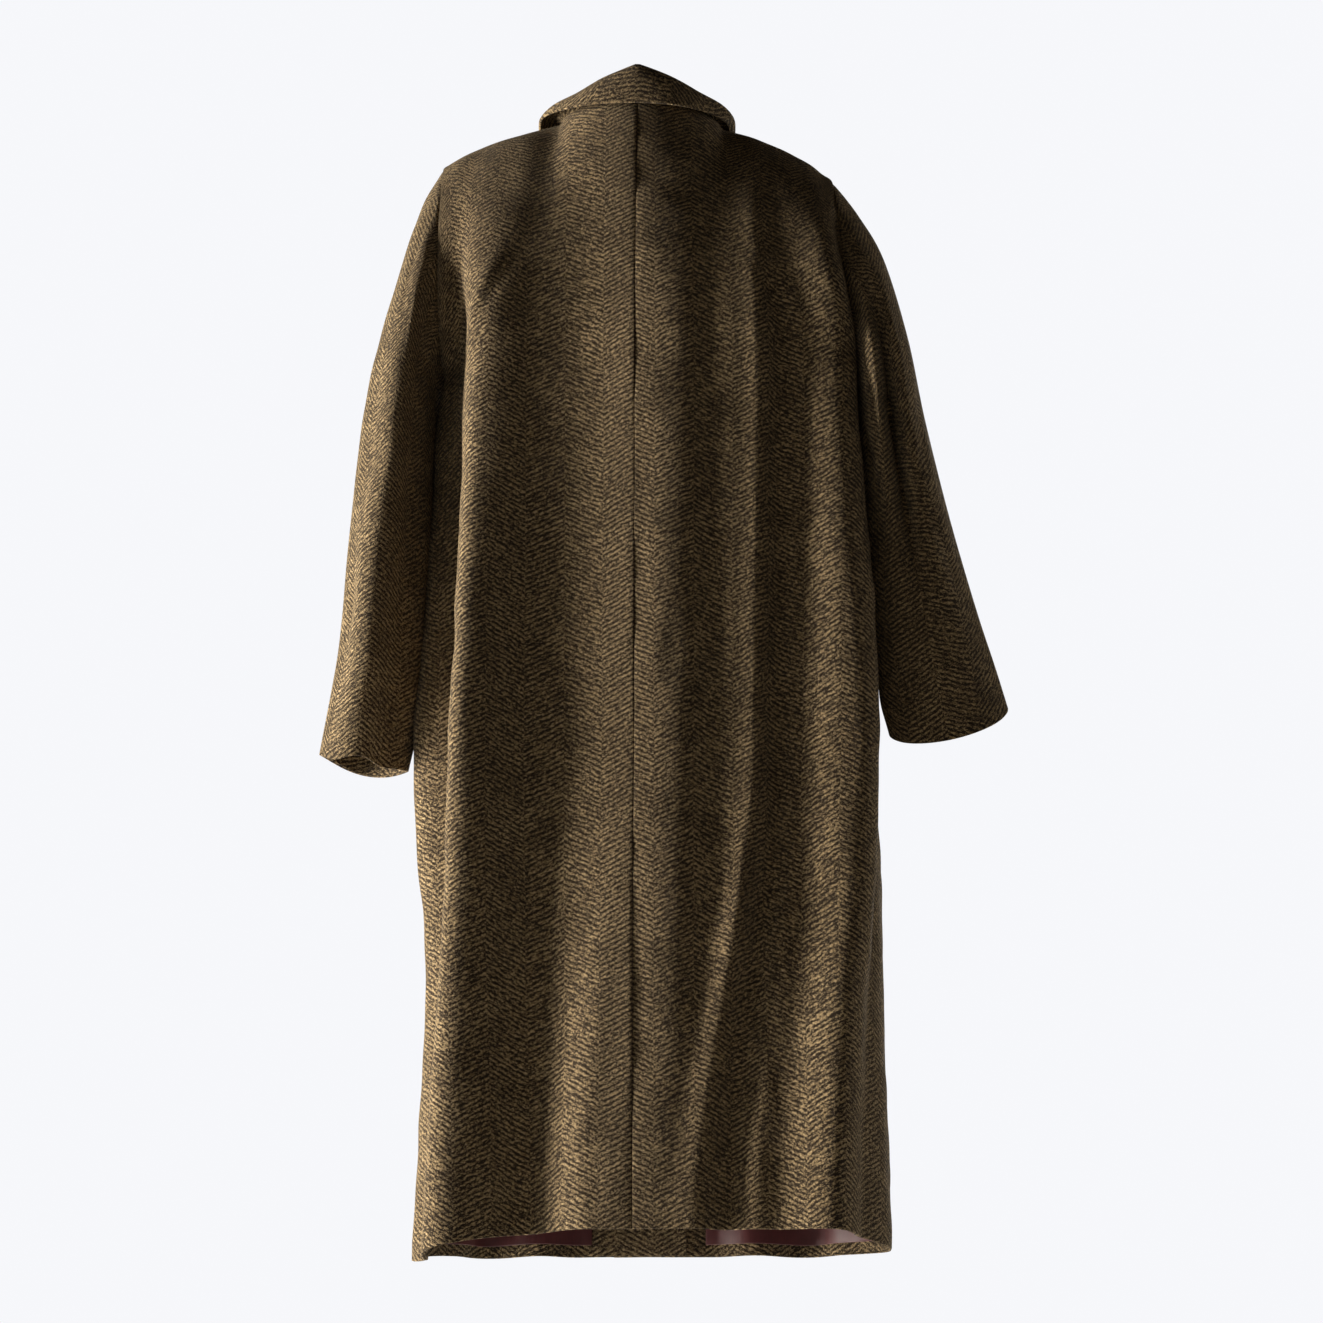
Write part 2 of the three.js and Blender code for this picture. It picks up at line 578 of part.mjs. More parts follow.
// One section of the collar, as the outline of its folded wall
function collarSection(turn) {
  const back = Math.abs(turn) < 90 ? 1 : -1;
  const x = NECK_HALF * Math.sin(radians(turn));
  const seam = topEdge(back, x);
  const side = x < 0 ? 'left' : 'right';
  const get = (column) => lookup(COLLAR, 'at', column, Math.abs(turn));
  const out = new THREE.Vector3(Math.sin(radians(turn)), -Math.cos(radians(turn)), 0);
  const start = seam.clone().addScaledVector(out, -COLLAR_SEAM_IN);
  start.z += COLLAR_SEAM_GAP;
  const roll = seam.clone().addScaledVector(out, get('rollOut'));
  roll.z += get('rollUp');
  const lower = side === 'right' ? COLLAR_EDGE_DROP * Math.abs(Math.sin(radians(turn))) : 0;
  const edge = new THREE.Vector3(
    Math.sign(x) * get('edgeX') * COLLAR_SIDE[side],
    get('edgeY'),
    get('edgeZ') - lower,
  );
  const { stand, turn: bend, top, shoulder, fall } = COLLAR_RUN;
  const from = (a, b, row) => a.clone().lerp(b, row.part).addScaledVector(out, row.out);
  const inside = roll.clone().addScaledVector(out, bend.out);
  inside.z += bend.up;
  const curve = new THREE.CatmullRomCurve3([
    start,
    from(start, roll, stand),
    inside,
    roll.clone().addScaledVector(out, top.out),
    from(roll, edge, shoulder),
    from(roll, edge, fall),
    edge,
  ], false, 'centripetal');
  const across = new THREE.Vector3(-out.y, out.x, 0);
  const points = curve.getSpacedPoints(COLLAR_PROFILE - 1);
  const outerLine = [];
  const innerLine = [];
  points.forEach((point, i) => {
    const way = points[Math.min(i + 1, points.length - 1)].clone().sub(points[Math.max(i - 1, 0)]);
    const normal = way.cross(across).normalize();
    outerLine.push(point.clone().addScaledVector(normal, COLLAR_THICK / 2));
    innerLine.push(point.clone().addScaledVector(normal, -COLLAR_THICK / 2));
  });
  for (const line of [outerLine, innerLine]) {
    line[0].z = Math.max(line[0].z, start.z);
  }
  return [...outerLine, ...innerLine.reverse()];
}

function addCollar() {
  const reach = COLLAR.at(-1).at;
  const last = reach - (reach % COLLAR_STEP);
  const turns = [-reach, ...steps(-last, last, (2 * last) / COLLAR_STEP), reach];
  const sections = turns.map(collarSection);
  const count = sections[0].length;
  const position = sections.flat().flatMap((point) => point.toArray());
  const index = [];
  const quad = (a, b, c, d) => index.push(a, b, c, a, c, d);
  for (let s = 0; s < sections.length - 1; s += 1) {
    for (let k = 0; k < count; k += 1) {
      const next = (k + 1) % count;
      quad(s * count + k, s * count + next, (s + 1) * count + next, (s + 1) * count + k);
    }
  }
  const end = (sections.length - 1) * count;
  for (let k = 0; k < count / 2 - 1; k += 1) {
    const far = count - 1 - k;
    quad(k, far, far - 1, k + 1);
    quad(end + k, end + k + 1, end + far - 1, end + far);
  }
  add('collar', solid(position, index), WOOL);
}

// Buttons sit on the right front, each turned to face out from the cloth
function addButtons() {
  const { radius, thick, rim, well, sides } = BUTTON;
  const profile = [
    new THREE.Vector2(0, 0),
    new THREE.Vector2(radius - rim, 0),
    new THREE.Vector2(radius, rim),
    new THREE.Vector2(radius, thick - rim),
    new THREE.Vector2(radius - rim, thick),
    new THREE.Vector2(radius - 3 * rim, thick - well),
    new THREE.Vector2(0, thick - well),
  ];
  const middle = [CENTRE_FRONT, CENTRE_FRONT + STEP_U];
  BUTTON_LEVELS.forEach((level, i) => {
    const geometry = new THREE.LatheGeometry(profile, sides);
    const [[{ point, normal }]] = sample(overSurface, middle, [level, level + STEP_V], false);
    const mesh = new THREE.Mesh(geometry, new THREE.MeshStandardMaterial(HORN));
    mesh.name = `button_${i + 1}`;
    mesh.quaternion.setFromUnitVectors(new THREE.Vector3(0, 1, 0), normal);
    mesh.position.copy(point).addScaledVector(normal, 2 * SEAM);
    model.add(mesh);
  });
}

addShell();
addInside();
addSleeves();
addCollar();
addButtons();

export default model;
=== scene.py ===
"""A long wool overcoat, filled out to the shape it has when worn, and empty inside.

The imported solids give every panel's place. This script builds each panel again as a
finer thin wall on the same form, with its creases, seams, hems and buttons, and gives
it a brushed herringbone, satin or horn finish. Lengths are in millimetres until a mesh
is made, and +Z is up, the coat's back faces -Y and the wearer's right is +X.
"""

import logging
import math
from dataclasses import dataclass, field
from enum import Enum

import bpy
import numpy as np
from mathutils import Euler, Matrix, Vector


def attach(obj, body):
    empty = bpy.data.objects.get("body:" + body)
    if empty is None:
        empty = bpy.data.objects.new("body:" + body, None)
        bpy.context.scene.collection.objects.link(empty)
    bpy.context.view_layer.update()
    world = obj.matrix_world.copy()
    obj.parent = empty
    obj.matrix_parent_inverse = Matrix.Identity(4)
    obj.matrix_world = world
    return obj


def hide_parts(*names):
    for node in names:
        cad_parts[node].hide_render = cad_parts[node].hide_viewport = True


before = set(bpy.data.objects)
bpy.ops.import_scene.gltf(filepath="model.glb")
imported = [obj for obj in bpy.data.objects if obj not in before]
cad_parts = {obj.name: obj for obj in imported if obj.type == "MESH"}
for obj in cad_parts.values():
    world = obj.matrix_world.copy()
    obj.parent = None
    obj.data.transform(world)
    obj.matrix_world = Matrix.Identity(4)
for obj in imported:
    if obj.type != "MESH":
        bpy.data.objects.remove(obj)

log = logging.getLogger("coat")

Array = np.ndarray
Colour = tuple[float, float, float]

MM = 0.001
SIDE_SEAM = 90.0
CENTRE_FRONT = 180.0
LAYER_GAP = 0.15
TURN_UP_LIFT = 1.2
DIAGONAL = 1.414
WAVES = 12
LONGEST_WAVE = 2.5
NOISE_SPAN = (0.3, 0.7)
MIX_FIRST, MIX_SECOND = 6, 7


class Face(Enum):
    """The two halves of the coat's body, as the side of Y that each lies on."""

    BACK = 1
    FRONT = -1


class Side(Enum):
    """The wearer's left or right, as the sign of X."""

    LEFT = -1
    RIGHT = 1

    @property
    def word(self) -> str:
        """The side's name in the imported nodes."""
        return self.name.lower()


# Curves and grids


def hermite(keys: Array, values: Array, at: Array) -> Array:
    """Reads a table along a smooth curve.

    Between two rows the value is a cubic with both rows' slopes, and a row's slope is
    the straight one between its two neighbours. Beyond the table the end rows hold.

    Args:
        keys: The key column, rising or falling.
        values: The value column.
        at: Where to read, of any shape.

    Returns:
        The values, in the shape of at.
    """
    keys, values = np.asarray(keys, float), np.asarray(values, float)
    if keys[0] > keys[-1]:
        keys, values = keys[::-1], values[::-1]
    gap = np.diff(keys)
    slope = np.empty_like(values)
    slope[1:-1] = (values[2:] - values[:-2]) / (keys[2:] - keys[:-2])
    slope[0] = (values[1] - values[0]) / gap[0]
    slope[-1] = (values[-1] - values[-2]) / gap[-1]
    at = np.clip(at, keys[0], keys[-1])
    i = np.clip(np.searchsorted(keys, at, side="right") - 1, 0, len(gap) - 1)
    t = (at - keys[i]) / gap[i]
    t2, t3 = t * t, t * t * t
    return (
        values[i] * (2 * t3 - 3 * t2 + 1)
        + slope[i] * gap[i] * (t3 - 2 * t2 + t)
        + values[i + 1] * (3 * t2 - 2 * t3)
        + slope[i + 1] * gap[i] * (t3 - t2)
    )


def ease(low: float, high: float, v: Array) -> Array:
    """A smooth step from 0 at low to 1 at high."""
    t = np.clip((v - low) / (high - low), 0, 1)
    return t * t * (3 - 2 * t)


def mix(a: Array, b: Array, t: Array) -> Array:
    """The value t of the way from a to b."""
    return a + (b - a) * t


def bump(distance: Array) -> Array:
    """A rounded bump: half a cosine wave, 1 in the middle and 0 past a distance of 1."""
    d = np.clip(np.abs(distance), 0, 1)
    return 0.5 + 0.5 * np.cos(np.pi * d)


def unit(v: Array) -> Array:
    """Vectors along the last axis, scaled to length 1."""
    return v / np.maximum(np.linalg.norm(v, axis=-1, keepdims=True), 1e-9)


def uneven(u: Array, v: Array, seed: int, wave: float, height: float) -> Array:
    """A soft, irregular relief: twelve plane waves of chance direction, phase and length.

    Args:
        u, v: Places along the cloth, in millimetres.
        seed: Seed of the chance numbers.
        wave: The shortest wave's length; the longest is two and a half times that.
        height: About half the relief's whole height.

    Returns:
        The relief's height at each place.
    """
    rng = np.random.default_rng(seed)
    total = np.zeros(np.broadcast(u, v).shape)
    for _ in range(WAVES):
        turn, phase = rng.uniform(0, 2 * np.pi, 2)
        length = wave * rng.uniform(1, LONGEST_WAVE)
        total += np.sin((u * np.cos(turn) + v * np.sin(turn)) * 2 * np.pi / length + phase)
    return height * total / np.sqrt(WAVES)


def turn_from(middle: Array | float, angle: Array) -> Array:
    """The turn from one angle to another, in degrees between -180 and 180."""
    return (angle - middle + 540) % 360 - 180


@dataclass(frozen=True)
class Relief:
    """The cloth's own unevenness: short waves over long ones, each with its height."""

    short: float
    short_high: float
    long: float
    long_high: float

    def at(self, u: Array, v: Array, seed: int) -> Array:
        """The unevenness at places u and v along the cloth, from two seeds in a row."""
        short = uneven(u, v, seed, self.short, self.short_high)
        return short + uneven(u, v, seed + 1, self.long, self.long_high)


@dataclass
class Grid:
    """A cloth surface as rows and columns of points.

    points and normals have the shape (rows, columns, 3). u and v are places along the
    cloth in millimetres, and on a tube u has one column more, for the seam's far side.
    """

    points: Array
    normals: Array
    u: Array
    v: Array
    wrap: bool = False

    def rows(self, first: int) -> "Grid":
        """The grid from one row on, down to its last."""
        parts = (self.points, self.normals, self.u, self.v)
        return Grid(*(part[first:] for part in parts), self.wrap)

    def columns(self, kept: Array) -> "Grid":
        """The grid's columns that are marked True."""
        parts = (self.points, self.normals, self.u, self.v)
        return Grid(*(part[:, kept] for part in parts), self.wrap)

    def moved(self, distance: Array | float) -> "Grid":
        """The same grid moved out along its normals, or in where distance is minus."""
        step = np.asarray(distance, float)
        step = step[..., None] if step.ndim else step
        return Grid(self.points + self.normals * step, self.normals, self.u, self.v, self.wrap)

    def resettled(self) -> "Grid":
        """The same points with normals measured again."""
        normals = grid_normals(self.points, self.wrap)
        same = np.sign((normals * self.normals).sum(-1).mean())
        return Grid(self.points, normals * same, self.u, self.v, self.wrap)


def grid_normals(points: Array, wrap: bool) -> Array:
    """Unit normals of a grid: the way down crossed with the way across.

    Args:
        points: Points of the shape (rows, columns, 3).
        wrap: Whether the last column meets the first.

    Returns:
        Normals of the same shape.
    """
    down = np.gradient(points, axis=0)
    if wrap:
        across = np.roll(points, -1, 1) - np.roll(points, 1, 1)
    else:
        across = np.gradient(points, axis=1)
    return unit(np.cross(down, across))


def run_lengths(points: Array, axis: int) -> Array:
    """Distances walked along one axis of a grid of points, from its first line.

    Args:
        points: Points of the shape (rows, columns, 3).
        axis: 0 to walk down the rows, 1 to walk across the columns.

    Returns:
        Distances of the shape (rows, columns).
    """
    step = np.linalg.norm(np.diff(points, axis=axis), axis=-1)
    walked = np.cumsum(step, axis=axis)
    start = np.zeros_like(np.take(walked, [0], axis=axis))
    return np.concatenate([start, walked], axis=axis)


def set_apart(points: Array, start: float, least: float) -> Array:
    """Moves each row's first columns along their row, so that they stay apart.

    Column c comes to lie at least start plus c times least along its row.

    Args:
        points: Points of the shape (rows, columns, 3).
        start: The least distance of the first column from the row's start.
        least: The least distance from each column to the next.

    Returns:
        The moved points.
    """
    walked = run_lengths(points, 1)
    want = np.maximum(walked, start + least * np.arange(points.shape[1]))
    moved = [
        np.stack([np.interp(want[r], walked[r], points[r, :, k]) for k in range(3)], -1)
        for r in range(len(points))
    ]
    return np.stack(moved)


def spread(length: float, pitch: float, fine: tuple[float, ...]) -> Array:
    """Places from 0 to length, one pitch apart, and closer by both ends.

    Args:
        length: The last place.
        pitch: The usual distance between places.
        fine: Extra distances from each end.

    Returns:
        The places, rising.
    """
    reach = fine[-1] if fine else 0.0
    count = max(2, round((length - 2 * reach) / pitch))
    middle = np.linspace(reach, length - reach, count + 1)
    return np.unique(np.concatenate([[0], fine, middle, length - np.array(fine), [length]]))


# The coat's form


@dataclass(frozen=True)
class Fold:
    """A soft fold that runs down the body, at three heights: chest, middle and hem."""

    name: str
    face: Face
    place: tuple[float, float, float]
    wide: float
    high: tuple[float, float, float]


@dataclass(frozen=True)
class Crease:
    """A short crease laid on the cloth.

    u is the girth from the centre line and z the height of its middle, turn its lean
    from upright, long and wide its half sizes, bend how far its ends curve aside, and
    high how far it stands out, or in where that is minus.
    """

    name: str
    face: Face
    u: float
    z: float
    turn: float
    long: float
    wide: float
    high: float
    bend: float = 0.0

    def height(self, u: Array, z: Array) -> Array:
        """How far the crease moves the cloth out at each place."""
        s, c = math.sin(math.radians(self.turn)), math.cos(math.radians(self.turn))
        p = ((u - self.u) * s + (z - self.z) * c) / self.long
        q = (u - self.u) * c - (z - self.z) * s - self.bend * p * p
        return self.high * bump(p) * bump(q / self.wide)


FOLDS = (
    Fold("left flank", Face.BACK, (-250, -248, -262), 70, (-14, -24, -6)),
    Fold("left crest", Face.BACK, (-172, -190, -218), 66, (19, 30, 28)),
    Fold("left hollow", Face.BACK, (-66, -76, -112), 70, (-9, -13, -32)),
    Fold("middle swell", Face.BACK, (30, 34, 24), 60, (5, 7, 1)),
    Fold("middle hollow", Face.BACK, (78, 76, 64), 32, (-3, -5, -2)),
    Fold("right ridge", Face.BACK, (136, 130, 62), 28, (6, 10, 4)),
    Fold("right hollow", Face.BACK, (158, 150, 94), 32, (-9, -13, -14)),
    Fold("right crest", Face.BACK, (240, 248, 206), 62, (24, 36, 32)),
    Fold("front left crest", Face.FRONT, (-150, -165, -185), 60, (5, 11, 20)),
    Fold("front left hollow", Face.FRONT, (-95, -105, -120), 48, (-4, -8, -18)),
    Fold("front right hollow", Face.FRONT, (98, 108, 112), 46, (-4, -9, -16)),
    Fold("front right crest", Face.FRONT, (160, 172, 176), 58, (5, 10, 18)),
)

CREASES = (
    Crease("left crest edge", Face.BACK, -176, -430, 1, 260, 16, 1.8, 4),
    Crease("left crest low edge", Face.BACK, -200, -860, 3, 300, 18, 1.8, -4),
    Crease("left flank hollow", Face.BACK, -224, -600, 1, 300, 42, -13, 0),
    Crease("left blade drag", Face.BACK, -150, -215, 32, 90, 16, -2.2, 8),
    Crease("left blade fold", Face.BACK, -176, -235, 24, 80, 13, 2.4, 6),
    Crease("right blade drag", Face.BACK, 150, -230, -30, 95, 16, -2.4, -8),
    Crease("right blade fold", Face.BACK, 182, -250, -22, 85, 14, 2.6, -6),
    Crease("yoke drag", Face.BACK, 60, -130, -58, 70, 18, -1.4, 4),
    Crease("yoke drag left", Face.BACK, -70, -120, 60, 60, 18, -1.2, 4),
    Crease("middle dent", Face.BACK, 40, -610, 6, 70, 20, -1.8, 3),
    Crease("seam pull", Face.BACK, 8, -480, 0, 160, 9, -1.2, 0),
    Crease("low seam pull", Face.BACK, 6, -930, 0, 190, 10, -1.4, 2),
    Crease("left hollow drag", Face.BACK, -84, -840, 8, 120, 14, -2.4, 5),
    Crease("hem left lift", Face.BACK, -120, -1130, 5, 90, 20, 2.4, 4),
    Crease("hem middle lift", Face.BACK, -20, -1150, -4, 70, 24, 1.6, 2),
    Crease("right ridge edge", Face.BACK, 126, -620, 1, 420, 26, -3.5, 3),
    Crease("right hollow drag", Face.BACK, 146, -760, -4, 140, 13, -2.2, 4),
    Crease("right crest edge", Face.BACK, 236, -600, -1, 240, 14, 2.0, 5),
    Crease("right crest shoulder", Face.BACK, 206, -660, 2, 460, 34, 8.5, 4),
    Crease("right low drag", Face.BACK, 138, -1000, -9, 130, 16, -2.2, 6),
    Crease("hem right lift", Face.BACK, 120, -1140, -5, 80, 22, 2.0, 4),
    Crease("front left drag", Face.FRONT, -120, -260, 28, 90, 18, -2.4, 6),
    Crease("front right drag", Face.FRONT, 125, -280, -28, 90, 18, -2.6, 6),
    Crease("button pull", Face.FRONT, 40, -470, -70, 60, 12, -1.6, 4),
    Crease("button pull left", Face.FRONT, -50, -500, 72, 60, 12, -1.6, 4),
    Crease("front low drag", Face.FRONT, 90, -820, -6, 140, 16, -2.0, 6),
    Crease("front left low drag", Face.FRONT, -95, -880, 6, 150, 16, -2.0, 6),
    Crease("front hem lift", Face.FRONT, 70, -1140, 4, 80, 22, 2.0, 4),
)


@dataclass(frozen=True)
class BodyForm:
    """The body of the coat as a surface over an angle and a level.

    The angle is 0 at the centre back and 180 at the centre front, minus on the wearer's
    left. The level is 0 at the shoulder and neck seams, 1 at the chest and 2 at the hem.
    """

    chest_z: float = -295
    middle_z: float = -700
    hem_z: float = -1195
    centre_y: float = -5
    heights: tuple[float, ...] = (
        -295, -350, -440, -530, -600, -660, -745, -860, -1000, -1195,
    )
    left: tuple[float, ...] = (208, 215, 218, 223, 228.8, 233.5, 231, 221, 216, 227)
    right: tuple[float, ...] = (221, 225, 229.5, 236.5, 242, 244.5, 242, 244, 246, 249)
    back: tuple[float, ...] = (113, 114, 115, 117, 119, 121, 123, 126, 130, 135)
    front: tuple[float, ...] = (113, 114, 116, 119, 122, 125, 128, 133, 138, 145)
    square: tuple[float, float] = (2.8, 3.3)
    hem_angles: tuple[float, ...] = (-180, -125, -90, -56, -30, 0, 35, 65, 90, 130, 180)
    hem_heights: tuple[float, ...] = (
        -1195, -1198, -1210, -1217, -1197, -1195, -1196, -1204, -1203, -1197, -1195,
    )
    neck_half: float = 85
    neck_back: tuple[float, float] = (-72, -5)
    neck_front: tuple[float, float] = (85, -96)
    neck_point: tuple[float, float] = (-6, -15)
    tip_left: tuple[float, float] = (-209, -56)
    tip_right: tuple[float, float] = (203, -81)
    shoulder_round: float = 0.25
    armhole_half: float = 76
    neck_drop: float = 1.6
    neck_soft: float = 0.6
    neck_ease: float = 0.78
    shoulder_ease: float = 0.5
    ease_span: tuple[float, float] = (0.6, 1.5)
    folds_start: float = 0.1
    under_depth: float = 5.6
    under_ramp: tuple[float, float] = (24, 11)

    def ring(self, face: Face, angle: Array, z: Array) -> dict[str, Array]:
        """A plain ring of the body at height z.

        It is a superellipse: the shares of the half width and the half depth, each
        raised to the squareness, add up to 1 at every angle.
        """
        s, c = np.sin(np.radians(angle)), np.abs(np.cos(np.radians(angle)))
        right = s >= 0
        width = np.where(
            right,
            hermite(self.heights, self.right, z),
            hermite(self.heights, self.left, z),
        )
        depth = hermite(self.heights, self.back if face is Face.BACK else self.front, z)
        n = np.where(right, self.square[1], self.square[0])
        scale = (np.abs(s) ** n + c**n) ** (-1 / n)
        share, round_ = s * scale, c * scale
        out_x = np.sign(s) * np.abs(share) ** (n - 1) / width
        out_y = -face.value * round_ ** (n - 1) / depth
        size = np.hypot(out_x, out_y)
        return {
            "share": share,
            "round": round_,
            "x": width * share,
            "depth": depth,
            "out_x": out_x / size,
            "out_y": out_y / size,
            "girth": width * share + np.sign(s) * depth * (1 - round_),
        }

    def along(self, z: Array, rows: tuple[float, float, float]) -> Array:
        """A value that changes from the chest to the middle and on to the hem."""
        top, middle, hem = rows
        upper = mix(middle, top, ease(self.middle_z, self.chest_z, z))
        lower = mix(hem, middle, ease(self.hem_z, self.middle_z, z))
        return np.where(z > self.middle_z, upper, lower)

    def fold_height(self, face: Face, girth: Array, z: Array) -> Array:
        """How far the large folds move the cloth out at each place."""
        total = np.zeros(np.broadcast(girth, z).shape)
        for fold in (f for f in FOLDS if f.face is face):
            place = self.along(z, fold.place)
            total += self.along(z, fold.high) * bump((girth - place) / fold.wide)
        return total

    def top_edge(self, face: Face, x: Array, level: Array | float = 0.0) -> Array:
        """Points of the neck seam, within its half width, and of the shoulder seams.

        At lower levels the neck's curve is softened where the two seams meet.
        """
        reach = np.abs(x)
        neck_z = np.where(x < 0, self.neck_point[0], self.neck_point[1])
        neck = self.neck_back if face is Face.BACK else self.neck_front
        room = 1 - (reach / self.neck_half) ** 2
        bow = np.sqrt(np.clip(room, 0, 1))
        soft = np.sqrt((room + np.hypot(room, self.neck_soft * level)) / 2)
        tip_x = np.where(x < 0, -self.tip_left[0], self.tip_right[0])
        tip_z = np.where(x < 0, self.tip_left[1], self.tip_right[1])
        along = np.clip((reach - self.neck_half) / (tip_x - self.neck_half), 0, None)
        fall = along * (1 - self.shoulder_round) + self.shoulder_round * along**4
        on_neck = reach < self.neck_half
        y = mix(self.centre_y, neck[0], soft)
        z = np.where(
            on_neck,
            mix(neck_z, neck[1], bow**self.neck_drop),
            mix(neck_z, tip_z, fall),
        )
        return np.stack([x, y, z], -1)

    def points(self, face: Face, angle: Array, level: Array, under: bool = False) -> Array:
        """Points of the body's outer surface, creases included.

        Below the chest a point is its ring's, moved out by the folds. Above it, a point
        goes straight up to the top edge while its depth swings over as a quarter turn
        does, and the side bows out to leave the armhole open.

        Args:
            face: The back or the front.
            angle: Angles, one for each column.
            level: Levels, one for each row.
            under: True for the left front, which steps in to lie under the right one.

        Returns:
            Points of the shape (rows, columns, 3).
        """
        angle, level = np.broadcast_arrays(angle[None, :], level[:, None])
        wrapped = (angle + 180) % 360 - 180
        wrapped = np.where(angle == 180, 180, wrapped)
        hem = hermite(self.hem_angles, self.hem_heights, wrapped)
        low_z = mix(self.chest_z, hem, np.clip(level - 1, 0, 1))
        low = self.ring(face, angle, low_z)
        fold = self.fold_height(face, low["girth"], low_z)
        lower = np.stack(
            [
                low["x"] + low["out_x"] * fold,
                self.centre_y - face.value * low["depth"] * low["round"] + low["out_y"] * fold,
                low_z,
            ],
            -1,
        )
        up = np.clip(level, 0, 1)
        chest = self.ring(face, angle, np.full(angle.shape, float(self.chest_z)))
        tip = np.where(chest["share"] < 0, -self.tip_left[0], self.tip_right[0])
        top = self.top_edge(face, chest["share"] * tip, up)
        ease_low, ease_high = (self.neck_half * share for share in self.ease_span)
        power = mix(
            self.neck_ease, self.shoulder_ease, ease(ease_low, ease_high, np.abs(top[..., 0]))
        )
        swing = (1 - (1 - up) ** 2) ** power
        flat = swing * chest["depth"] * chest["round"]
        opening = self.armhole_half * 2 * np.sqrt(up * (1 - up))
        extra = np.sqrt(flat**2 + (1 - chest["round"] ** 2) * opening**2) - flat
        fold = self.fold_height(face, chest["girth"], np.full(angle.shape, float(self.chest_z)))
        fold = fold * ease(self.folds_start, 1, up)
        chest_y = self.centre_y - face.value * chest["depth"] * chest["round"]
        upper = np.stack(
            [
                mix(top[..., 0], chest["x"], up) + chest["out_x"] * fold,
                mix(top[..., 1], chest_y, swing)
                - face.value * extra
                + chest["out_y"] * fold,
                mix(top[..., 2], self.chest_z, up),
            ],
            -1,
        )
        below = level > 1
        points = np.where(below[..., None], lower, upper)
        girth = np.where(below, low["girth"], chest["girth"])
        detail = sum(c.height(girth, points[..., 2]) for c in CREASES if c.face is face)
        detail = detail * ease(0, self.folds_start, level)
        step = 0.0
        if under:
            own = np.maximum(180 - np.abs(angle), 0)
            step = self.under_depth * (1 - ease(self.under_ramp[1], self.under_ramp[0], own))
        points[..., 0] += chest["out_x"] * (detail - step)
        points[..., 1] += chest["out_y"] * (detail - step)
        return points


